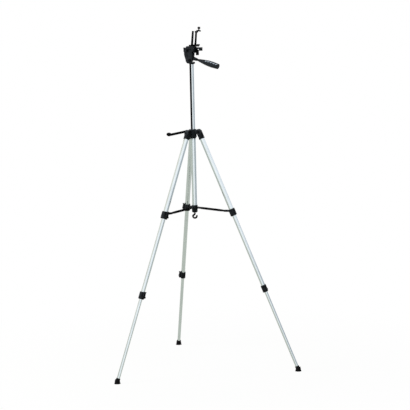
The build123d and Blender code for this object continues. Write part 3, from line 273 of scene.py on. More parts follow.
def framed(origin, side, along):
    """Frame with its Y near one direction and its Z along another."""
    z = along.normalized()
    x = side.cross(z).normalized()
    return Matrix.Translation(origin) @ Matrix((x, z.cross(x), z)).transposed().to_4x4()


def upright_place(joint_name):
    """Upright frame at a joint of the head."""
    return framed(joint_point(joint_name), ACROSS, UP)


def axis_place(joint_name, side):
    """Frame at a joint with its Z along the joint's axis."""
    return framed(joint_point(joint_name), side, joint_axis(joint_name))


def leg_frame(name, origin):
    """Frame at a point of a leg: Z up along the leg, X outward, Y along the fold axis."""
    return framed(origin, joint_axis(f"{name}_fold"), joint_axis(f"{name}_middle_slide"))


def leg_place(name):
    """Leg frame at the leg's pivot."""
    return leg_frame(name, joint_point(f"{name}_fold"))


def lock_place(name, part):
    """Leg frame at the pivot of a lock's lever; the lock lies on the side of -Y."""
    return leg_frame(name, joint_point(f"{name}_{part}_lever_flip"))


def handle_place():
    """Handle frame: Z runs out along the handle, X points down."""
    along = joint_axis("handle_twist")
    return framed(joint_point("handle_twist") - along * HANDLE_JOINT_ALONG, ACROSS, along)


def clamp_place():
    """Frame of the phone clamp on its screw: X points to the phone's side."""
    lean = joint_axis("clamp_screw_turn")
    forward = Vector((lean.x, lean.y, 0)).normalized()
    return framed(joint_point("clamp_swivel"), UP.cross(forward), UP)


def linear(text):
    """sRGB hex colour as linear red, green, blue, alpha."""
    values = [int(text[i:i + 2], 16) / 255 for i in (1, 3, 5)]
    return [v / 12.92 if v <= 0.04045 else ((v + 0.055) / 1.055) ** 2.4 for v in values] + [1.0]


def per_mm(size):
    """Texture scale for a pattern of this size in millimetres."""
    return 1000.0 / size


def add(tree, kind, inputs=None, **settings):
    """Adds a node, with its settings and the values or links of its inputs."""
    made = tree.nodes.new(kind)
    for key, value in settings.items():
        setattr(made, key, value)
    for key, value in (inputs or {}).items():
        if isinstance(value, bpy.types.NodeSocket):
            tree.links.new(value, made.inputs[key])
        else:
            made.inputs[key].default_value = value
    return made


def set_ramp(ramp, low, dark, high, light):
    """Two colours of a ramp and where they stand."""
    first, last = ramp.color_ramp.elements
    first.position, first.color = low, linear(dark)
    last.position, last.color = high, linear(light)


def new_material(name):
    """New material: its tree, its principled shader, and its object coordinates."""
    material = bpy.data.materials.new(name)
    material.use_nodes = True
    tree = material.node_tree
    shader = tree.nodes["Principled BSDF"]
    where = add(tree, "ShaderNodeTexCoord").outputs["Object"]
    return material, tree, shader, where


def wire(tree, shader, colour, roughness, normal):
    """Links a finish's colour, gloss and relief to its shader."""
    tree.links.new(colour, shader.inputs["Base Color"])
    tree.links.new(roughness, shader.inputs["Roughness"])
    tree.links.new(normal, shader.inputs["Normal"])


def drawn_aluminium(name, direction):
    """Satin anodised aluminium tube: drawn lengthwise, so the sheen is streaked along the tube."""
    material, tree, shader, where = new_material(name)
    along = add(tree, "ShaderNodeMapping", {"Vector": where, "Rotation": direction})
    stretch = add(tree, "ShaderNodeMapping", {"Vector": along.outputs[0], "Scale": (1, 1, 0.012)})
    # real draw lines are about 0.1 mm apart; 1.2 mm is the finest that shows, drawn out to 100 mm
    lines = add(tree, "ShaderNodeTexNoise",
                {"Vector": stretch.outputs[0], "Scale": per_mm(1.2), "Detail": 3.0})
    cloud = add(tree, "ShaderNodeTexNoise", {"Vector": where, "Scale": per_mm(45.0), "Detail": 2.0})
    tone = add(tree, "ShaderNodeValToRGB", {"Fac": cloud.outputs["Fac"]})
    set_ramp(tone, 0.3, "#E4EDF1", 0.7, "#ECF5F9")
    gloss = add(tree, "ShaderNodeMapRange",
                {"Value": lines.outputs["Fac"], "To Min": 0.15, "To Max": 0.27})
    relief = add(tree, "ShaderNodeBump",
                 {"Height": lines.outputs["Fac"], "Strength": 0.05, "Distance": 0.0001})
    wire(tree, shader, tone.outputs["Color"], gloss.outputs["Result"], relief.outputs["Normal"])
    shader.inputs["Metallic"].default_value = 1.0
    return material


def moulded(name, dark, light, grain, rough, depth, edge, specular):
    """Moulding: a spark-eroded grain breaks the gloss, and scuffing greys it in soft patches."""
    material, tree, shader, where = new_material(name)
    cells = add(tree, "ShaderNodeTexVoronoi", {"Vector": where, "Scale": per_mm(grain)})
    patches = add(tree, "ShaderNodeTexNoise",
                  {"Vector": where, "Scale": per_mm(22.0), "Detail": 5.0, "Roughness": 0.6})
    tone = add(tree, "ShaderNodeValToRGB", {"Fac": patches.outputs["Fac"]})
    set_ramp(tone, 0.35, dark, 0.72, light)
    gloss = add(tree, "ShaderNodeMapRange",
                {"Value": patches.outputs["Fac"], "From Min": 0.3, "From Max": 0.7,
                 "To Min": rough - 0.06, "To Max": rough + 0.08})
    soft_edge = add(tree, "ShaderNodeBevel", {"Radius": edge / 1000}, samples=4)
    relief = add(tree, "ShaderNodeBump",
                 {"Height": cells.outputs["Distance"], "Normal": soft_edge.outputs["Normal"],
                  "Strength": 0.25, "Distance": depth / 1000})
    wire(tree, shader, tone.outputs["Color"], gloss.outputs["Result"], relief.outputs["Normal"])
    shader.inputs["Specular IOR Level"].default_value = specular
    return material


def ribbed_rubber(name, dark, light, rib_width):
    """Rubber pad cast with straight ribs, as wide as the grooves between them, so that it grips."""
    material, tree, shader, where = new_material(name)
    # the wave texture turns 20 radians per unit, and half a turn is one rib
    bands = add(tree, "ShaderNodeTexWave",
                {"Vector": where, "Scale": per_mm(rib_width) / 20 * math.pi, "Distortion": 0.0},
                bands_direction="Y")
    dust = add(tree, "ShaderNodeTexNoise", {"Vector": where, "Scale": per_mm(6.0), "Detail": 4.0})
    tone = add(tree, "ShaderNodeValToRGB", {"Fac": dust.outputs["Fac"]})
    set_ramp(tone, 0.35, dark, 0.7, light)
    gloss = add(tree, "ShaderNodeMapRange",
                {"Value": dust.outputs["Fac"], "To Min": 0.6, "To Max": 0.85})
    relief = add(tree, "ShaderNodeBump",
                 {"Height": bands.outputs["Fac"], "Strength": 0.6, "Distance": 0.0004})
    wire(tree, shader, tone.outputs["Color"], gloss.outputs["Result"], relief.outputs["Normal"])
    shader.inputs["Specular IOR Level"].default_value = 0.25
    return material


def steel(name, dark, light, metallic, rough, specular):
    """Steel small parts: a thin plated or oxide skin with a fine mottled sheen."""
    material, tree, shader, where = new_material(name)
    mottle = add(tree, "ShaderNodeTexNoise", {"Vector": where, "Scale": per_mm(1.6), "Detail": 4.0})
    tone = add(tree, "ShaderNodeValToRGB", {"Fac": mottle.outputs["Fac"]})
    set_ramp(tone, 0.3, dark, 0.7, light)
    gloss = add(tree, "ShaderNodeMapRange",
                {"Value": mottle.outputs["Fac"], "To Min": rough - 0.08, "To Max": rough + 0.1})
    relief = add(tree, "ShaderNodeBump",
                 {"Height": mottle.outputs["Fac"], "Strength": 0.1, "Distance": 0.0001})
    wire(tree, shader, tone.outputs["Color"], gloss.outputs["Result"], relief.outputs["Normal"])
    shader.inputs["Metallic"].default_value = metallic
    shader.inputs["Specular IOR Level"].default_value = specular
    return material


def leg_direction(name):
    """Turn that brings a leg's length onto Z, for a pattern that runs along it."""
    return leg_place(name).to_3x3().inverted().to_euler()


tube_finish = {name: drawn_aluminium(f"satin_anodised_drawn_aluminium_{name}", leg_direction(name))
               for name in LEGS}
tube_finish["column"] = drawn_aluminium("satin_anodised_drawn_aluminium_column", Euler((0, 0, 0)))
# ABS from a spark-eroded tool: deep charcoal, fine even grain, low sheen
abs_finish = moulded("spark_textured_moulded_abs", "#141618", "#202225",
                     grain=0.9, rough=0.45, depth=0.05, edge=0.6, specular=0.04)
# ABS of the crown: the housings' ABS painted lighter, as painted light where the leg joints shade
# the crown from the key lamp
crown_painted_light_finish = moulded("spark_textured_abs_painted_lighter", "#1F2225", "#2E3135",
                       grain=0.9, rough=0.45, depth=0.05, edge=0.6, specular=0.04)
# acetal rack: denser and a little smoother than the housings
acetal_finish = moulded("injection_moulded_acetal", "#060607", "#0B0B0C",
                        grain=0.7, rough=0.55, depth=0.02, edge=0.15, specular=0.03)
# glass-filled nylon of struts, crank and clamp: dyed through, blacker and duller than the housings
nylon_finish = moulded("glass_filled_nylon", "#040405", "#09090A",
                       grain=0.7, rough=0.55, depth=0.03, edge=0.4, specular=0.04)
# rubber of the feet: matt, with the chalky bloom that floor dust leaves
rubber_finish = moulded("moulded_synthetic_rubber", "#09090B", "#111113",
                        grain=1.3, rough=0.68, depth=0.08, edge=0.5, specular=0.08)
# soft grip: skin of elastomer over the handle's core, with a blue-black satin sheen
grip_finish = moulded("overmoulded_elastomer_grip", "#0D1014", "#161A1F",
                      grain=0.8, rough=0.4, depth=0.05, edge=0.6, specular=0.2)
# pads of the grip: smooth elastomer painted pale blue-grey as a painted highlight, standing in for
# the light streaks along the grip's top
grip_pad_highlight_finish = moulded("smooth_elastomer_painted_highlight", "#8D97A1", "#A3ADB7",
                        grain=2.5, rough=0.3, depth=0.01, edge=0.4, specular=0.5)
# soft vinyl that the hook is dipped in: smooth, thick, black
vinyl_finish = moulded("dipped_soft_vinyl", "#040405", "#08080A",
                       grain=3.0, rough=0.4, depth=0.01, edge=0.3, specular=0.05)
# pad of the quick-release plate: dull charcoal rubber with ribs 3 mm wide
pad_finish = ribbed_rubber("ribbed_cast_rubber", "#121213", "#202020", rib_width=3.0)
# black oxide on steel: nearly black, oily sheen
oxide_finish = steel("black_oxide_steel", "#050506", "#0B0B0C",
                     metallic=0.1, rough=0.45, specular=0.06)
# zinc plate on steel: pale blue-grey, fine sparkle
zinc_finish = steel("zinc_plated_steel", "#A3A7AB", "#C2C5C8",
                    metallic=1.0, rough=0.32, specular=0.5)


def paint(piece, material):
    """Gives a piece one material."""
    piece.data.materials.clear()
    piece.data.materials.append(material)


node_finish = {
    "crown": crown_painted_light_finish,
    "quick_pad": pad_finish,
    "column_rack": acetal_finish,
    "handle_grip": grip_finish,
    "crank_arm": nylon_finish,
    "crank_knob": nylon_finish,
    "clamp_frame": nylon_finish,
    "clamp_jaw": nylon_finish,
    "clamp_screw": nylon_finish,
    "flip_lock_lever": nylon_finish,
    "weight_hook": oxide_finish,
    "handle_rod": oxide_finish,
    "leg_pivot_pins": oxide_finish,
    "tilt_axle": oxide_finish,
    "hub_pins": zinc_finish,
    "pinion_shaft": zinc_finish,
    "flip_hinge_pin": zinc_finish,
    "camera_screw": zinc_finish,
}
for node_name, node in nodes.items():
    if node_name.endswith("_tube"):
        paint(node, tube_finish.get(node_name.split("_")[0], tube_finish["column"]))
    elif node_name.endswith("_foot"):
        paint(node, rubber_finish)
    elif node_name.endswith("_strut"):
        paint(node, nylon_finish)
    else:
        paint(node, node_finish.get(node_name, abs_finish))


def finish_piece(mesh_name, shape, place, body, material, smooth=40):
    """Turns a bmesh in millimetres into a piece in place that rides on a body."""
    bmesh.ops.transform(shape, matrix=MM @ place, verts=shape.verts)
    bmesh.ops.recalc_face_normals(shape, faces=shape.faces)
    mesh = bpy.data.meshes.new(mesh_name)
    shape.to_mesh(mesh)
    shape.free()
    mesh.shade_smooth()
    mesh.set_sharp_from_angle(angle=math.radians(smooth))
    piece = bpy.data.objects.new(mesh_name, mesh)
    bpy.context.scene.collection.objects.link(piece)
    paint(piece, material)
    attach(piece, body)


def picked(items, kind):
    """The items of one kind among an operator's results."""
    return [item for item in items if isinstance(item, kind)]


def edges_at(verts):
    """The edges that meet at some vertices."""
    return list({edge for vert in verts for edge in vert.link_edges})


def soften(shape, edges, width, segments=2):
    """Rounds edges."""
    bmesh.ops.bevel(shape, geom=edges, offset=width, segments=segments, profile=0.5,
                    affect="EDGES", material=-1)


def rounded_bar(shape, size, place, width):
    """Adds a small bar with rounded edges."""
    made = bmesh.ops.create_cube(shape, size=1.0, matrix=place @ Matrix.Diagonal((*size, 1.0)))
    soften(shape, edges_at(made["verts"]), width)


def full_spin(shape, geom, centre, axis, steps):
    """Spins an outline all the way round and closes the seam."""
    bmesh.ops.spin(shape, geom=geom, cent=centre, axis=axis, angle=math.tau, steps=steps,
                   use_merge=True)
    bmesh.ops.remove_doubles(shape, verts=shape.verts, dist=MERGE)


def ring(shape, radius, bead, place):
    """Adds a round bead that runs in a ring about Z."""
    made = bmesh.ops.create_circle(shape, segments=8, radius=bead,
                                   matrix=place @ shift(radius, 0, 0) @ turn("X", 90))
    outline = made["verts"] + edges_at(made["verts"])
    full_spin(shape, outline, place.translation, place.to_3x3() @ UP, steps=40)


def turned(shape, outline):
    """Adds a sleeve about Z, turned from the outline of its wall as (radius, height)."""
    verts = [shape.verts.new((radius, 0, rise)) for radius, rise in outline]
    edges = [shape.edges.new((verts[index - 1], verts[index])) for index in range(len(verts))]
    full_spin(shape, verts + edges, (0, 0, 0), UP, steps=64)


def screw_head(shape, radius, height, place):
    """Adds a cap screw's head along Z with a recessed socket."""
    made = bmesh.ops.create_cone(shape, cap_ends=True, segments=24, radius1=radius, radius2=radius,
                                 depth=height, matrix=place @ shift(0, 0, height / 2))
    out = (place.to_3x3() @ UP).normalized()
    faces = {face for vert in made["verts"] for face in vert.link_faces}
    caps = [face for face in faces if len(face.verts) > 4]
    top = max(caps, key=lambda face: face.calc_center_median().dot(out))
    rim = list(top.edges)
    bmesh.ops.inset_region(shape, faces=[top], thickness=radius * SOCKET_WALL, depth=0.0)
    bmesh.ops.translate(shape, verts=list(top.verts), vec=-out * height * SOCKET_DEPTH)
    soften(shape, [edge for edge in rim if edge.is_valid], height * SCREW_RIM)


def lever_trim(name, part):
    """Thumb ribs on the outer side of a lock lever, and the caps on its trunnions."""
    place = lock_place(name, part)
    body = f"{name}_{part}_lever"
    ribs = bmesh.new()
    for rise in LEVER_RIB_RISES:
        out = LEVER_CAM - LEVER_SLOPE * rise + LEVER_RIB_PROUD
        rounded_bar(ribs, LEVER_RIB, shift(0, out, rise), LEVER_RIB_EDGE)
    finish_piece(f"{body}_ribs", ribs, place, body, abs_finish)
    caps = bmesh.new()
    for side in (90, -90):
        end = turn("Y", side) @ shift(0, 0, LEVER_TRUNNION)
        screw_head(caps, *LEVER_CAP, end @ shift(0, 0, LEVER_CAP_GAP))
        bmesh.ops.create_cone(caps, cap_ends=True, segments=16, radius1=LEVER_CAP_STUD,
                              radius2=LEVER_CAP_STUD, depth=LEVER_CAP_STUD_LENGTH, matrix=end)
    finish_piece(f"{body}_caps", caps, place, body, oxide_finish)


def lock_trim(name, part):
    """Clamp screws on a lock's side away from its lever, and a lip round the inner tube."""
    outer, inner = (TUBE_RADIUS[tube] for tube in LOCK_TUBES[part])
    body = f"{name}_{LOCK_BODIES[part]}"
    half = outer + LOCK_WALL
    middle = lock_place(name, part) @ shift(0, -LEVER_CAM - LOCK_GAP - half, -LEVER_PIVOT_RISE)
    screws = bmesh.new()
    for rise in LOCK_SCREW_RISES:
        screw_head(screws, *LOCK_SCREW, shift(0, -half, rise) @ turn("X", 90))
    finish_piece(f"{name}_{part}_clamp_screws", screws, middle, body, oxide_finish)
    lip = bmesh.new()
    ring(lip, inner + LOCK_LIP_OUT, LOCK_LIP_BEAD, shift(0, 0, -LOCK_HALF - LOCK_LIP_DROP))
    finish_piece(f"{name}_{part}_lip", lip, middle, body, abs_finish, smooth=60)


def foot_rings(name):
    """Moulded grip rings round the neck of a foot."""
    pivot = joint_point(f"{name}_fold")
    up = joint_axis(f"{name}_middle_slide")
    rings = bmesh.new()
    for rise in FOOT_RING_RISES:
        ring(rings, FOOT_NECK, FOOT_RING_BEAD, shift(0, 0, rise))
    ground = leg_frame(name, pivot - up * (pivot.z / up.z))
    finish_piece(f"{name}_foot_rings", rings, ground, f"{name}_lower", rubber_finish,
                 smooth=60)


def pivot_screws(name):
    """Socket heads on the ends of a leg's pivot pin."""
    heads = bmesh.new()
    for side in (90, -90):
        screw_head(heads, *PIVOT_SCREW, turn("X", side) @ shift(0, 0, PIVOT_PIN_END))
    place = framed(joint_point(f"{name}_fold"), joint_axis(f"{name}_fold"), UP)
    finish_piece(f"{name}_pivot_screws", heads, place, "frame", oxide_finish)


def joint_ribs(name):
    """Stiffening ribs down the back of a leg joint's socket."""
    ribs = bmesh.new()
    for angle in JOINT_RIB_ANGLES:
        place = turn("Z", angle) @ shift(JOINT_SOCKET, 0, -JOINT_RIB_DROP)
        rounded_bar(ribs, JOINT_RIB, place, JOINT_RIB_EDGE)
    finish_piece(f"{name}_joint_ribs", ribs, leg_place(name), f"{name}_leg", abs_finish)


def strut_flanges(name):
    """Raised edges along both faces of a spreader strut, as on a channel section."""
    inner = joint_point(f"{name}_strut_swing")
    run = leg_place(name) @ Vector(RIVET_PLACE) - inner
    size = (FLANGE_HEIGHT, FLANGE_THICKNESS, run.length - 2 * STRUT_TAPER)
    flanges = bmesh.new()
    for side in (-STRUT_HALF, STRUT_HALF):
        for edge in (-1, 1):
            rise = edge * (STRUT_HEIGHT / 2 - FLANGE_INSET)
            rounded_bar(flanges, size, shift(rise, side, run.length / 2), FLANGE_EDGE)
    place = framed(inner, joint_axis(f"{name}_fold"), run)
    finish_piece(f"{name}_strut_flanges", flanges, place, f"{name}_strut", nylon_finish)


def sleeve_radius(share):
    """Radius of the sleeve at a share of the grip: a neck swells to the belly, then draws in."""
    neck, belly, end = SLEEVE_RADII
    if share < SLEEVE_BELLY:
        swell = (share - SLEEVE_NECK) / (SLEEVE_BELLY - SLEEVE_NECK)
        return neck + (belly - neck) * math.sin(swell * math.pi / 2)
    fall = (share - SLEEVE_BELLY) / (SLEEVE_END - SLEEVE_BELLY)
    return end + (belly - end) * math.cos(fall * math.pi / 2)


def along_grip(share):
    """Distance along the handle at a share of the grip."""
    return GRIP_START + share * GRIP_LENGTH


def grip_sleeve():
    """Soft barrel-shaped sleeve over the handle's grip, with a neck that closes on the rod."""
    reach = SLEEVE_END - SLEEVE_NECK
    shares = [SLEEVE_NECK + reach * index / SLEEVE_STEPS for index in range(SLEEVE_STEPS + 1)]
    outer = [(sleeve_radius(share), along_grip(share)) for share in shares]
    start, end = (radius - SLEEVE_SINK for radius in GRIP_RADII)
    rod = ROD_RADIUS - SLEEVE_ROD_SINK
    inner = [(end, along_grip(SLEEVE_END)), (end, along_grip(GRIP_SWELL)), (start, along_grip(0)),
             (rod, along_grip(0)), (rod, along_grip(SLEEVE_NECK))]
    sleeve = bmesh.new()
    turned(sleeve, outer + inner)
    finish_piece("grip_sleeve", sleeve, handle_place(), "handle", grip_finish,
                 smooth=50)


def sleeve_slope(share):
    """Angle at which the sleeve swells at a share of the grip."""
    rise = sleeve_radius(share + PAD_SLOPE_STEP) - sleeve_radius(share - PAD_SLOPE_STEP)
    return math.degrees(math.atan2(rise, 2 * PAD_SLOPE_STEP * GRIP_LENGTH))


def grip_inserts():
    """Smooth slanting oval pads in a row along each upper side of the grip, painted pale as a
    painted highlight.
    """
    pads = bmesh.new()
    for index in range(GRIP_PADS):
        share = PAD_START + index * PAD_STEP
        out = sleeve_radius(share) - PAD_SINK
        seat = shift(along_grip(share), 0, out) @ turn("Y", -sleeve_slope(share))
        for side in (-1, 1):
            place = turn("Z", side * PAD_TURN) @ turn("Y", -90) @ seat @ turn("Z", side * PAD_SLANT)
            oval = bmesh.ops.create_circle(pads, cap_ends=True, segments=24, radius=1.0,
                                           matrix=place @ Matrix.Diagonal((*PAD_HALVES, 1.0, 1.0)))
            faces = list({face for vert in oval["verts"] for face in vert.link_faces})
            top = picked(bmesh.ops.extrude_face_region(pads, geom=faces)["geom"], BMFace)
            bmesh.ops.translate(pads, verts=list(top[0].verts),
                                vec=place.to_3x3() @ UP * PAD_HEIGHT)
            bmesh.ops.inset_region(pads, faces=top, thickness=PAD_CROWN_INSET, depth=PAD_CROWN)
    finish_piece("grip_inserts", pads, handle_place(), "handle", grip_pad_highlight_finish,
                 smooth=70)


def grip_rings():
    """Beads round both ends of the grip."""
    beads = bmesh.new()
    neck = SLEEVE_RADII[0] - SLEEVE_NECK_BEAD / 2
    ring(beads, neck, SLEEVE_NECK_BEAD, shift(0, 0, along_grip(SLEEVE_NECK)))
    ring(beads, GRIP_RADII[1] - GRIP_END_BEAD_INSET, GRIP_END_BEAD, shift(0, 0, HANDLE_LENGTH))
    finish_piece("grip_rings", beads, handle_place(), "handle", grip_finish,
                 smooth=60)


def axle_caps():
    """Socket heads on both ends of the tilt axle."""
    heads = bmesh.new()
    for side in (90, -90):
        screw_head(heads, *AXLE_CAP, turn("X", side) @ shift(0, 0, AXLE_END))
    place = upright_place("head_tilt")
    finish_piece("tilt_axle_caps", heads, place, "pan", oxide_finish)


def cheek_edge(rim):
    """Draws the near cheek's front edge: shoulder, bowed front, straight waist, round foot."""
    waist, waist_rise = CHEEK_WAIST
    foot, foot_rise = CHEEK_FOOT
    run, fall = CHEEK_FRONT - waist, CHEEK_SHOULDER - waist_rise
    bow = (run ** 2 + fall ** 2) / (2 * run)
    top = rim.verts.new((-CHEEK_FRONT, 0, TABLE_RISE))
    shoulder = rim.verts.new((-CHEEK_FRONT, 0, CHEEK_SHOULDER))
    rim.edges.new((top, shoulder))
    front = bmesh.ops.spin(rim, geom=[shoulder], cent=(bow - CHEEK_FRONT, 0, CHEEK_SHOULDER),
                           axis=-ACROSS, angle=math.asin(fall / bow), steps=10)["geom_last"]
    heel = rim.verts.new((-foot, 0, foot_rise))
    rim.edges.new((picked(front, BMVert)[0], heel))
    bmesh.ops.spin(rim, geom=[heel], cent=(0, 0, foot_rise), axis=-ACROSS,
                   angle=math.radians(RIM_FOOT_TURN), steps=12)


def cheek_rim():
    """Rim along the front edge of the near cheek, from the table down round the foot."""
    rim = bmesh.new()
    cheek_edge(rim)
    bmesh.ops.translate(rim, verts=rim.verts, vec=(RIM_SEAT, 0, 0))
    grown = bmesh.ops.extrude_edge_only(rim, edges=list(rim.edges))["geom"]
    bmesh.ops.translate(rim, verts=picked(grown, BMVert), vec=(-RIM_SEAT - RIM_REACH, 0, 0))
    grown = bmesh.ops.extrude_face_region(rim, geom=list(rim.faces))["geom"]
    bmesh.ops.translate(rim, verts=picked(grown, BMVert), vec=(0, RIM_WIDTH, 0))
    bmesh.ops.recalc_face_normals(rim, faces=rim.faces)
    corner = math.radians(RIM_CORNER)
    soften(rim, [edge for edge in rim.edges if edge.calc_face_angle(0.0) > corner], RIM_EDGE)
    place = upright_place("head_tilt") @ shift(0, -CHEEK_OUTER + RIM_INSET, 0)
    finish_piece("cheek_rim", rim, place, "tilt", abs_finish)


def rear_cover():
    """Cover plate on the back of the tilt body, above the handle's boss."""
    cover = bmesh.new()
    rounded_bar(cover, REAR_COVER, shift(*REAR_COVER_PLACE), REAR_COVER_EDGE)
    place = upright_place("head_tilt")
    finish_piece("tilt_rear_cover", cover, place, "tilt", abs_finish)


def flutes(mesh_name, count, size, radius, place, body):
    """Row of grip ribs round a small knob."""
    ribs = bmesh.new()
    for index in range(count):
        rounded_bar(ribs, size, turn("Z", index * 360 / count) @ shift(radius, 0, 0), FLUTE_EDGE)
    finish_piece(mesh_name, ribs, place, body, abs_finish)


def knob_flutes():
    """Grip ribs of the pan lock and of the clamp's ball knob."""
    pan = axis_place("pan_lock_turn", ACROSS) @ shift(0, 0, -PAN_FLUTE_DROP)
    flutes("pan_lock_flutes", PAN_FLUTES, PAN_FLUTE, PAN_KNOB_RADIUS, pan, "pan_lock")
    ball = axis_place("clamp_screw_turn", ACROSS) @ shift(0, 0, BALL_RISE)
    radius = BALL_RADIUS - BALL_FLUTE_SINK
    flutes("clamp_knob_flutes", BALL_FLUTES, BALL_FLUTE, radius, ball, "clamp_screw")


def far_end(node_name, origin, axis):
    """How far a node reaches along a line, in millimetres."""
    return max((vert.co * 1000 - origin).dot(axis) for vert in nodes[node_name].data.vertices)


def knob_caps():
    """Screw heads that hold the crank, its knob and the column lock's knob."""
    for joint_name, node_name, body, cap in (
        ("crank_knob_spin", "crank_knob", "crank_knob", CRANK_KNOB_CAP),
        ("column_lock_turn", "column_lock_knob", "column_lock", LOCK_KNOB_CAP),
    ):
        end = far_end(node_name, joint_point(joint_name), joint_axis(joint_name))
        head = bmesh.new()
        screw_head(head, *cap, shift(0, 0, end - KNOB_CAP_SINK))
        place = axis_place(joint_name, UP)
        finish_piece(f"{node_name}_cap", head, place, body, oxide_finish)
    hub = bmesh.new()
    screw_head(hub, *CRANK_SCREW, shift(0, 0, CRANK_HUB_END))
    place = axis_place("crank_turn", UP)
    finish_piece("crank_hub_screw", hub, place, "crank", oxide_finish)


def slide_rings():
    """Bushing bead on the crown round the column, and the sleeve on top of the spreader's hub."""
    bushing = bmesh.new()
    top = shift(0, 0, joint_point("left_fold").z + CROWN_RISE)
    ring(bushing, COLUMN_BORE + BUSHING_OUT, BUSHING_BEAD, top)
    finish_piece("column_bushing", bushing, Matrix(), "frame", abs_finish,
                 smooth=60)
    low, high = HUB_SLEEVE_RISES
    sleeve = bmesh.new()
    turned(sleeve, ((HUB_BORE, low), (HUB_WALL, low), (HUB_WALL, high - HUB_SLEEVE_CHAMFER),
                    (HUB_WALL - HUB_SLEEVE_CHAMFER, high), (HUB_BORE, high)))
    place = shift(0, 0, joint_point("left_strut_swing").z + HUB_HALF)
    finish_piece("hub_sleeve", sleeve, place, "hub", abs_finish)


def jaw_pad():
    """Ribbed rubber pad on the clamp's lower jaw."""
    start, end = CLAMP_JAW
    width = 2 * CLAMP_JAW_HALF
    pad = bmesh.new()
    rounded_bar(pad, (end - start, width, JAW_PAD_THICKNESS),
                shift((start + end) / 2, 0, CLAMP_BASE + JAW_PAD_RISE), JAW_PAD_EDGE)
    for index in range(JAW_RIBS):
        along = start + (index + 1) * (end - start) / (JAW_RIBS + 1)
        rounded_bar(pad, (JAW_RIB_WIDTH, width - JAW_RIB_INSET, JAW_RIB_HEIGHT),
                    shift(along, 0, CLAMP_BASE + JAW_RIB_RISE), JAW_RIB_EDGE)
    finish_piece("clamp_jaw_pad", pad, clamp_place(), "clamp", rubber_finish)


def quick_lever_ribs():
    """Thumb ribs on the end of the quick-release lever."""
    ribs = bmesh.new()
    for rise in QUICK_RIB_RISES:
        rounded_bar(ribs, QUICK_RIB, shift(QUICK_LEVER_END, 0, rise), QUICK_RIB_EDGE)
    place = upright_place("quick_lever_swing")
    finish_piece("quick_lever_ribs", ribs, place, "quick_lever", abs_finish)


def rack_lips():
    """Black edges of the rack's strip, let into the column on both sides of its groove."""
    lips = bmesh.new()
    half_angle = math.degrees(math.asin(RACK_HALF / COLUMN_RADIUS) + RACK_LIP / 2 / COLUMN_RADIUS)
    for angle in (-half_angle, half_angle):
        place = turn("Z", angle) @ shift(COLUMN_RADIUS - RACK_LIP_SINK, 0, 0)
        rounded_bar(lips, (RACK_LIP_THICKNESS, RACK_LIP, COLUMN_LENGTH), place, RACK_LIP_EDGE)
    middle = Vector((0, 0, joint_point("left_fold").z + COLUMN_OUT - COLUMN_LENGTH / 2))
    place = framed(middle, joint_axis("left_fold"), UP)
    finish_piece("rack_lips", lips, place, "column", acetal_finish)


def guide_ferrule():
    """Turned sleeve under the crown, where the guide tube goes in."""
    inner, outer = GUIDE_RADIUS - FERRULE_SINK, GUIDE_RADIUS + FERRULE_WALL
    low, high = FERRULE_RISES
    sleeve = bmesh.new()
    turned(sleeve, ((inner, low), (outer - FERRULE_CHAMFER, low), (outer, low + FERRULE_CHAMFER),
                    (outer, high), (inner, high)))
    place = shift(0, 0, joint_point("left_fold").z - CROWN_DROP)
    finish_piece("guide_ferrule", sleeve, place, "frame", abs_finish)


def hook_dip():
    """Vinyl dip over the bend and the loop of the weight hook, in the hook's own plane."""
    half_across, half_down = HOOK_RADIUS / 2, HOOK_DROP / 2
    bend = (half_across ** 2 + half_down ** 2) / (2 * half_across)
    bend_angle = math.atan2(half_down, bend - half_across)
    dip = bmesh.new()
    made = bmesh.ops.create_circle(dip, segments=24, radius=HOOK_WIRE + HOOK_DIP,
                                   matrix=shift(0, 0, HOOK_DROP + HOOK_DIP_NECK))
    neck = bmesh.ops.extrude_edge_only(dip, edges=edges_at(made["verts"]))["geom"]
    verts = picked(neck, BMVert)
    bmesh.ops.translate(dip, verts=verts, vec=(0, 0, -HOOK_DIP_NECK))
    last = verts + [edge for edge in picked(neck, BMEdge)
                    if all(vert in verts for vert in edge.verts)]
    for centre, angle, steps in (
        ((-bend, 0, HOOK_DROP), -bend_angle, 8),
        ((bend - HOOK_RADIUS, 0, 0), bend_angle, 8),
        ((0, 0, 0), math.pi + math.radians(HOOK_END), 36),
    ):
        last = bmesh.ops.spin(dip, geom=last, cent=centre, axis=-ACROSS, angle=angle,
                              steps=steps)["geom_last"]
    bmesh.ops.holes_fill(dip, edges=[edge for edge in dip.edges if edge.is_boundary])
    soften(dip, picked(last, BMEdge), HOOK_DIP_TIP, 3)
    place = shift(0, 0, joint_point("hook_swivel").z - HOOK_MIDDLE) @ turn("Z", HOOK_TURN)
    finish_piece("hook_dip", dip, place, "hook", vinyl_finish, smooth=60)


def jaw_lip():
    """Stiffening lip that hangs from the outer edge of the clamp's lower jaw."""
    lip = bmesh.new()
    rounded_bar(lip, JAW_LIP, shift(CLAMP_JAW[1] - JAW_LIP_INSET, 0, JAW_LIP_RISE), JAW_LIP_EDGE)
    finish_piece("clamp_jaw_lip", lip, clamp_place(), "clamp", nylon_finish)


def clamp_ribs():
    """Tapered ribs on the backs of the clamp's uprights; the near one ends below the jaw."""
    half = CLAMP_BAR / 2
    ribs = bmesh.new()
    for side, height in CLAMP_RIBS.items():
        back = -half - CLAMP_RIB_DEPTH / 2 + CLAMP_RIB_SEAT
        middle = shift(back, side * CLAMP_SPAN / 2, height / 2)
        size = Matrix.Diagonal((CLAMP_RIB_DEPTH, CLAMP_RIB_WIDTH, height, 1.0))
        made = bmesh.ops.create_cube(ribs, size=1.0, matrix=middle @ size)
        tip = [vert for vert in made["verts"] if vert.co.z > height / 2 and vert.co.x < -half]
        bmesh.ops.translate(ribs, verts=tip, vec=(CLAMP_RIB_DEPTH - CLAMP_RIB_TIP, 0, 0))
    place = clamp_place() @ shift(CLAMP_OFFSET, 0, half) @ turn("Y", CLAMP_LEAN)
    finish_piece("clamp_ribs", ribs, place, "clamp", nylon_finish)


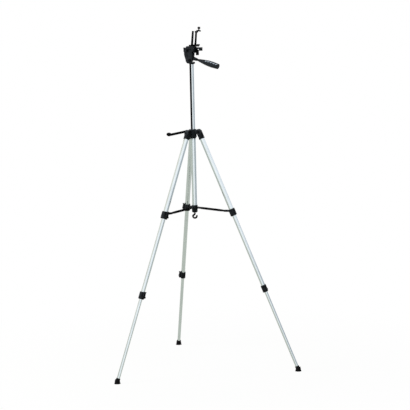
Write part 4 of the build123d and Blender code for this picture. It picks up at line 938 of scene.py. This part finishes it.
def flip_boss():
    """Moulded boss under the head's table that takes the stud of the flip lock."""
    boss = bmesh.new()
    rounded_bar(boss, FLIP_BOSS, shift(*FLIP_BOSS_PLACE), FLIP_BOSS_EDGE)
    place = upright_place("flip_lock_turn")
    finish_piece("flip_lock_boss", boss, place, "tilt", abs_finish)


def flip_paddle():
    """Broad thumb paddle on the bead of the flip lock's lever."""
    paddle = bmesh.new()
    rounded_bar(paddle, FLIP_PADDLE, shift(*FLIP_PADDLE_PLACE), FLIP_PADDLE_EDGE)
    place = upright_place("flip_lock_turn")
    finish_piece("flip_lever_paddle", paddle, place, "flip_lock", nylon_finish)


for leg_name in LEGS:
    for lock_name in LOCK_TUBES:
        lever_trim(leg_name, lock_name)
        lock_trim(leg_name, lock_name)
    foot_rings(leg_name)
    pivot_screws(leg_name)
    joint_ribs(leg_name)
    strut_flanges(leg_name)
grip_sleeve()
grip_inserts()
grip_rings()
axle_caps()
cheek_rim()
rear_cover()
knob_flutes()
knob_caps()
slide_rings()
jaw_pad()
quick_lever_ribs()
rack_lips()
guide_ferrule()
hook_dip()
jaw_lip()
clamp_ribs()
flip_boss()
flip_paddle()


def stage_piece(mesh_name, shape, material):
    """Turns a bmesh in metres into a piece of the studio."""
    mesh = bpy.data.meshes.new(mesh_name)
    shape.to_mesh(mesh)
    shape.free()
    mesh.materials.append(material)
    piece = bpy.data.objects.new(mesh_name, mesh)
    bpy.context.scene.collection.objects.link(piece)
    return piece


def studio_material(name):
    """Empty material of the studio, and its tree."""
    material = bpy.data.materials.new(name)
    material.use_nodes = True
    material.node_tree.nodes.clear()
    return material, material.node_tree


def floor_material():
    """Warm paper floor: white to the camera, with a faint shadow near the tripod that fades; in
    reflections it glows grey near the tripod, as painted shade.
    """
    material, tree = studio_material("pale_studio_paper")
    path = add(tree, "ShaderNodeLightPath")
    where = add(tree, "ShaderNodeTexCoord").outputs["Object"]
    away = add(tree, "ShaderNodeVectorMath", {0: where}, operation="LENGTH").outputs["Value"]
    seen = add(tree, "ShaderNodeMapRange",
               {"Value": away, "From Min": 0.6, "From Max": 1.6, "To Min": 0.965, "To Max": 1.0})
    by_camera = add(tree, "ShaderNodeMath",
                    {0: seen.outputs["Result"], 1: path.outputs["Is Camera Ray"]},
                    operation="MULTIPLY")
    bounced = add(tree, "ShaderNodeMath",
                  {0: path.outputs["Is Glossy Ray"], 1: path.outputs["Is Transmission Ray"]},
                  operation="MAXIMUM")
    paper = add(tree, "ShaderNodeBsdfDiffuse", {"Color": linear("#AEB1A8")})
    white = add(tree, "ShaderNodeEmission", {"Color": linear("#FFFFFF"), "Strength": 1.0})
    shown = add(tree, "ShaderNodeMixShader",
                {"Fac": by_camera.outputs[0], 1: paper.outputs[0], 2: white.outputs[0]})
    # painted shade: to glossy rays the floor glows grey near the tripod and turns white from 3 to 6
    # m out, which darkens the undersides of the tubes
    distance = add(tree, "ShaderNodeMapRange", {"Value": away, "From Min": 3.0, "From Max": 6.0})
    tone = add(tree, "ShaderNodeValToRGB", {"Fac": distance.outputs["Result"]})
    set_ramp(tone, 0.0, "#C4C6BB", 1.0, "#FFFFFF")
    reflected_painted_shade = add(tree, "ShaderNodeEmission", {"Color": tone.outputs["Color"], "Strength": 1.0})
    mixed = add(tree, "ShaderNodeMixShader",
                {"Fac": bounced.outputs[0], 1: shown.outputs[0], 2: reflected_painted_shade.outputs[0]})
    add(tree, "ShaderNodeOutputMaterial", {"Surface": mixed.outputs[0]})
    return material


def card_material(name, colour):
    """Plain paper of a studio card."""
    material, tree = studio_material(name)
    paper = add(tree, "ShaderNodeEmission", {"Color": linear(colour), "Strength": 1.0})
    add(tree, "ShaderNodeOutputMaterial", {"Surface": paper.outputs[0]})
    return material


def side_card(mesh_name, angles, heights, colour):
    """Curved card beside the tripod, which shades the edges of the bright tubes."""
    start, end = angles
    side = turn("Z", CAMERA_AZIMUTH + start)
    shape = bmesh.new()
    low, high = (shape.verts.new(side @ Vector((CARD_DISTANCE, 0, height))) for height in heights)
    edge = shape.edges.new((low, high))
    bmesh.ops.spin(shape, geom=[low, high, edge], cent=(0, 0, 0), axis=UP,
                   angle=math.radians(end - start), steps=24)
    card = stage_piece(mesh_name, shape, card_material(f"{mesh_name}_paper", colour))
    card.visible_camera = False
    card.visible_shadow = False
    card.visible_diffuse = False


floor_shape = bmesh.new()
bmesh.ops.create_grid(floor_shape, x_segments=1, y_segments=1, size=FLOOR_HALF,
                      matrix=Matrix.Translation((0, 0, -FLOOR_DROP)))
stage_piece("floor", floor_shape, floor_material())
side_card("right_low_card", angles=(35, 160), heights=(0.02, 1.6), colour="#B0B5BA")
side_card("right_high_card", angles=(45, 160), heights=(1.6, 4.5), colour="#F2F4F8")
side_card("left_low_card", angles=(-160, -38), heights=(0.02, 1.5), colour="#C4C6BB")
side_card("left_high_card", angles=(-160, -60), heights=(1.5, 4.5), colour="#E6E3D6")


def studio_world():
    """Plain white to the camera and in reflections, softer as light."""
    world = bpy.data.worlds.new("studio")
    bpy.context.scene.world = world
    world.use_nodes = True
    tree = world.node_tree
    tree.nodes.clear()
    path = add(tree, "ShaderNodeLightPath")
    direct = add(tree, "ShaderNodeMath",
                 {0: path.outputs["Is Camera Ray"], 1: path.outputs["Is Glossy Ray"]},
                 operation="MAXIMUM")
    seen = add(tree, "ShaderNodeMath",
               {0: direct.outputs[0], 1: path.outputs["Is Transmission Ray"]}, operation="MAXIMUM")
    plain = add(tree, "ShaderNodeBackground", {"Color": linear("#FFFFFF"), "Strength": 1.0})
    fill = add(tree, "ShaderNodeBackground", {"Color": linear("#F2F5F8"), "Strength": 0.4})
    sky = add(tree, "ShaderNodeMixShader",
              {"Fac": seen.outputs[0], 1: fill.outputs[0], 2: plain.outputs[0]})
    add(tree, "ShaderNodeOutputWorld", {"Surface": sky.outputs[0]})


def softbox(lamp_name, azimuth, height, distance, size, power, colour):
    """Large soft lamp, turned to the middle of the tripod and kept out of reflections."""
    data = bpy.data.lights.new(lamp_name, "AREA")
    data.shape = "RECTANGLE"
    data.size, data.size_y = size
    data.energy = power
    data.color = linear(colour)[:3]
    lamp = bpy.data.objects.new(lamp_name, data)
    bpy.context.scene.collection.objects.link(lamp)
    lamp.location = turn("Z", CAMERA_AZIMUTH + azimuth) @ Vector((distance, 0, height))
    lamp.rotation_mode = "QUATERNION"
    lamp.rotation_quaternion = (CAMERA_AIM - lamp.location).to_track_quat("-Z", "Y")
    lamp.visible_glossy = False


studio_world()
softbox("key_softbox", azimuth=-76, height=2.6, distance=4.2, size=(1.6, 2.4), power=430.0,
        colour="#FFFFFF")
softbox("fill_softbox", azimuth=5, height=3.8, distance=3.6, size=(1.4, 2.2), power=40.0,
        colour="#FAFCFF")
softbox("top_softbox", azimuth=170, height=3.6, distance=2.6, size=(2.0, 1.4), power=70.0,
        colour="#FFFDF6")

camera_data = bpy.data.cameras.new("camera")
camera_data.lens = CAMERA_LENS
camera_data.sensor_width = CAMERA_SENSOR
camera = bpy.data.objects.new("camera", camera_data)
bpy.context.scene.collection.objects.link(camera)
camera.location = CAMERA_PLACE
camera.rotation_mode = "QUATERNION"
roll = Euler((0, 0, math.radians(CAMERA_ROLL))).to_quaternion()
camera.rotation_quaternion = (CAMERA_AIM - CAMERA_PLACE).to_track_quat("-Z", "Y") @ roll
bpy.context.scene.camera = camera
bpy.context.scene.view_settings.view_transform = "Standard"
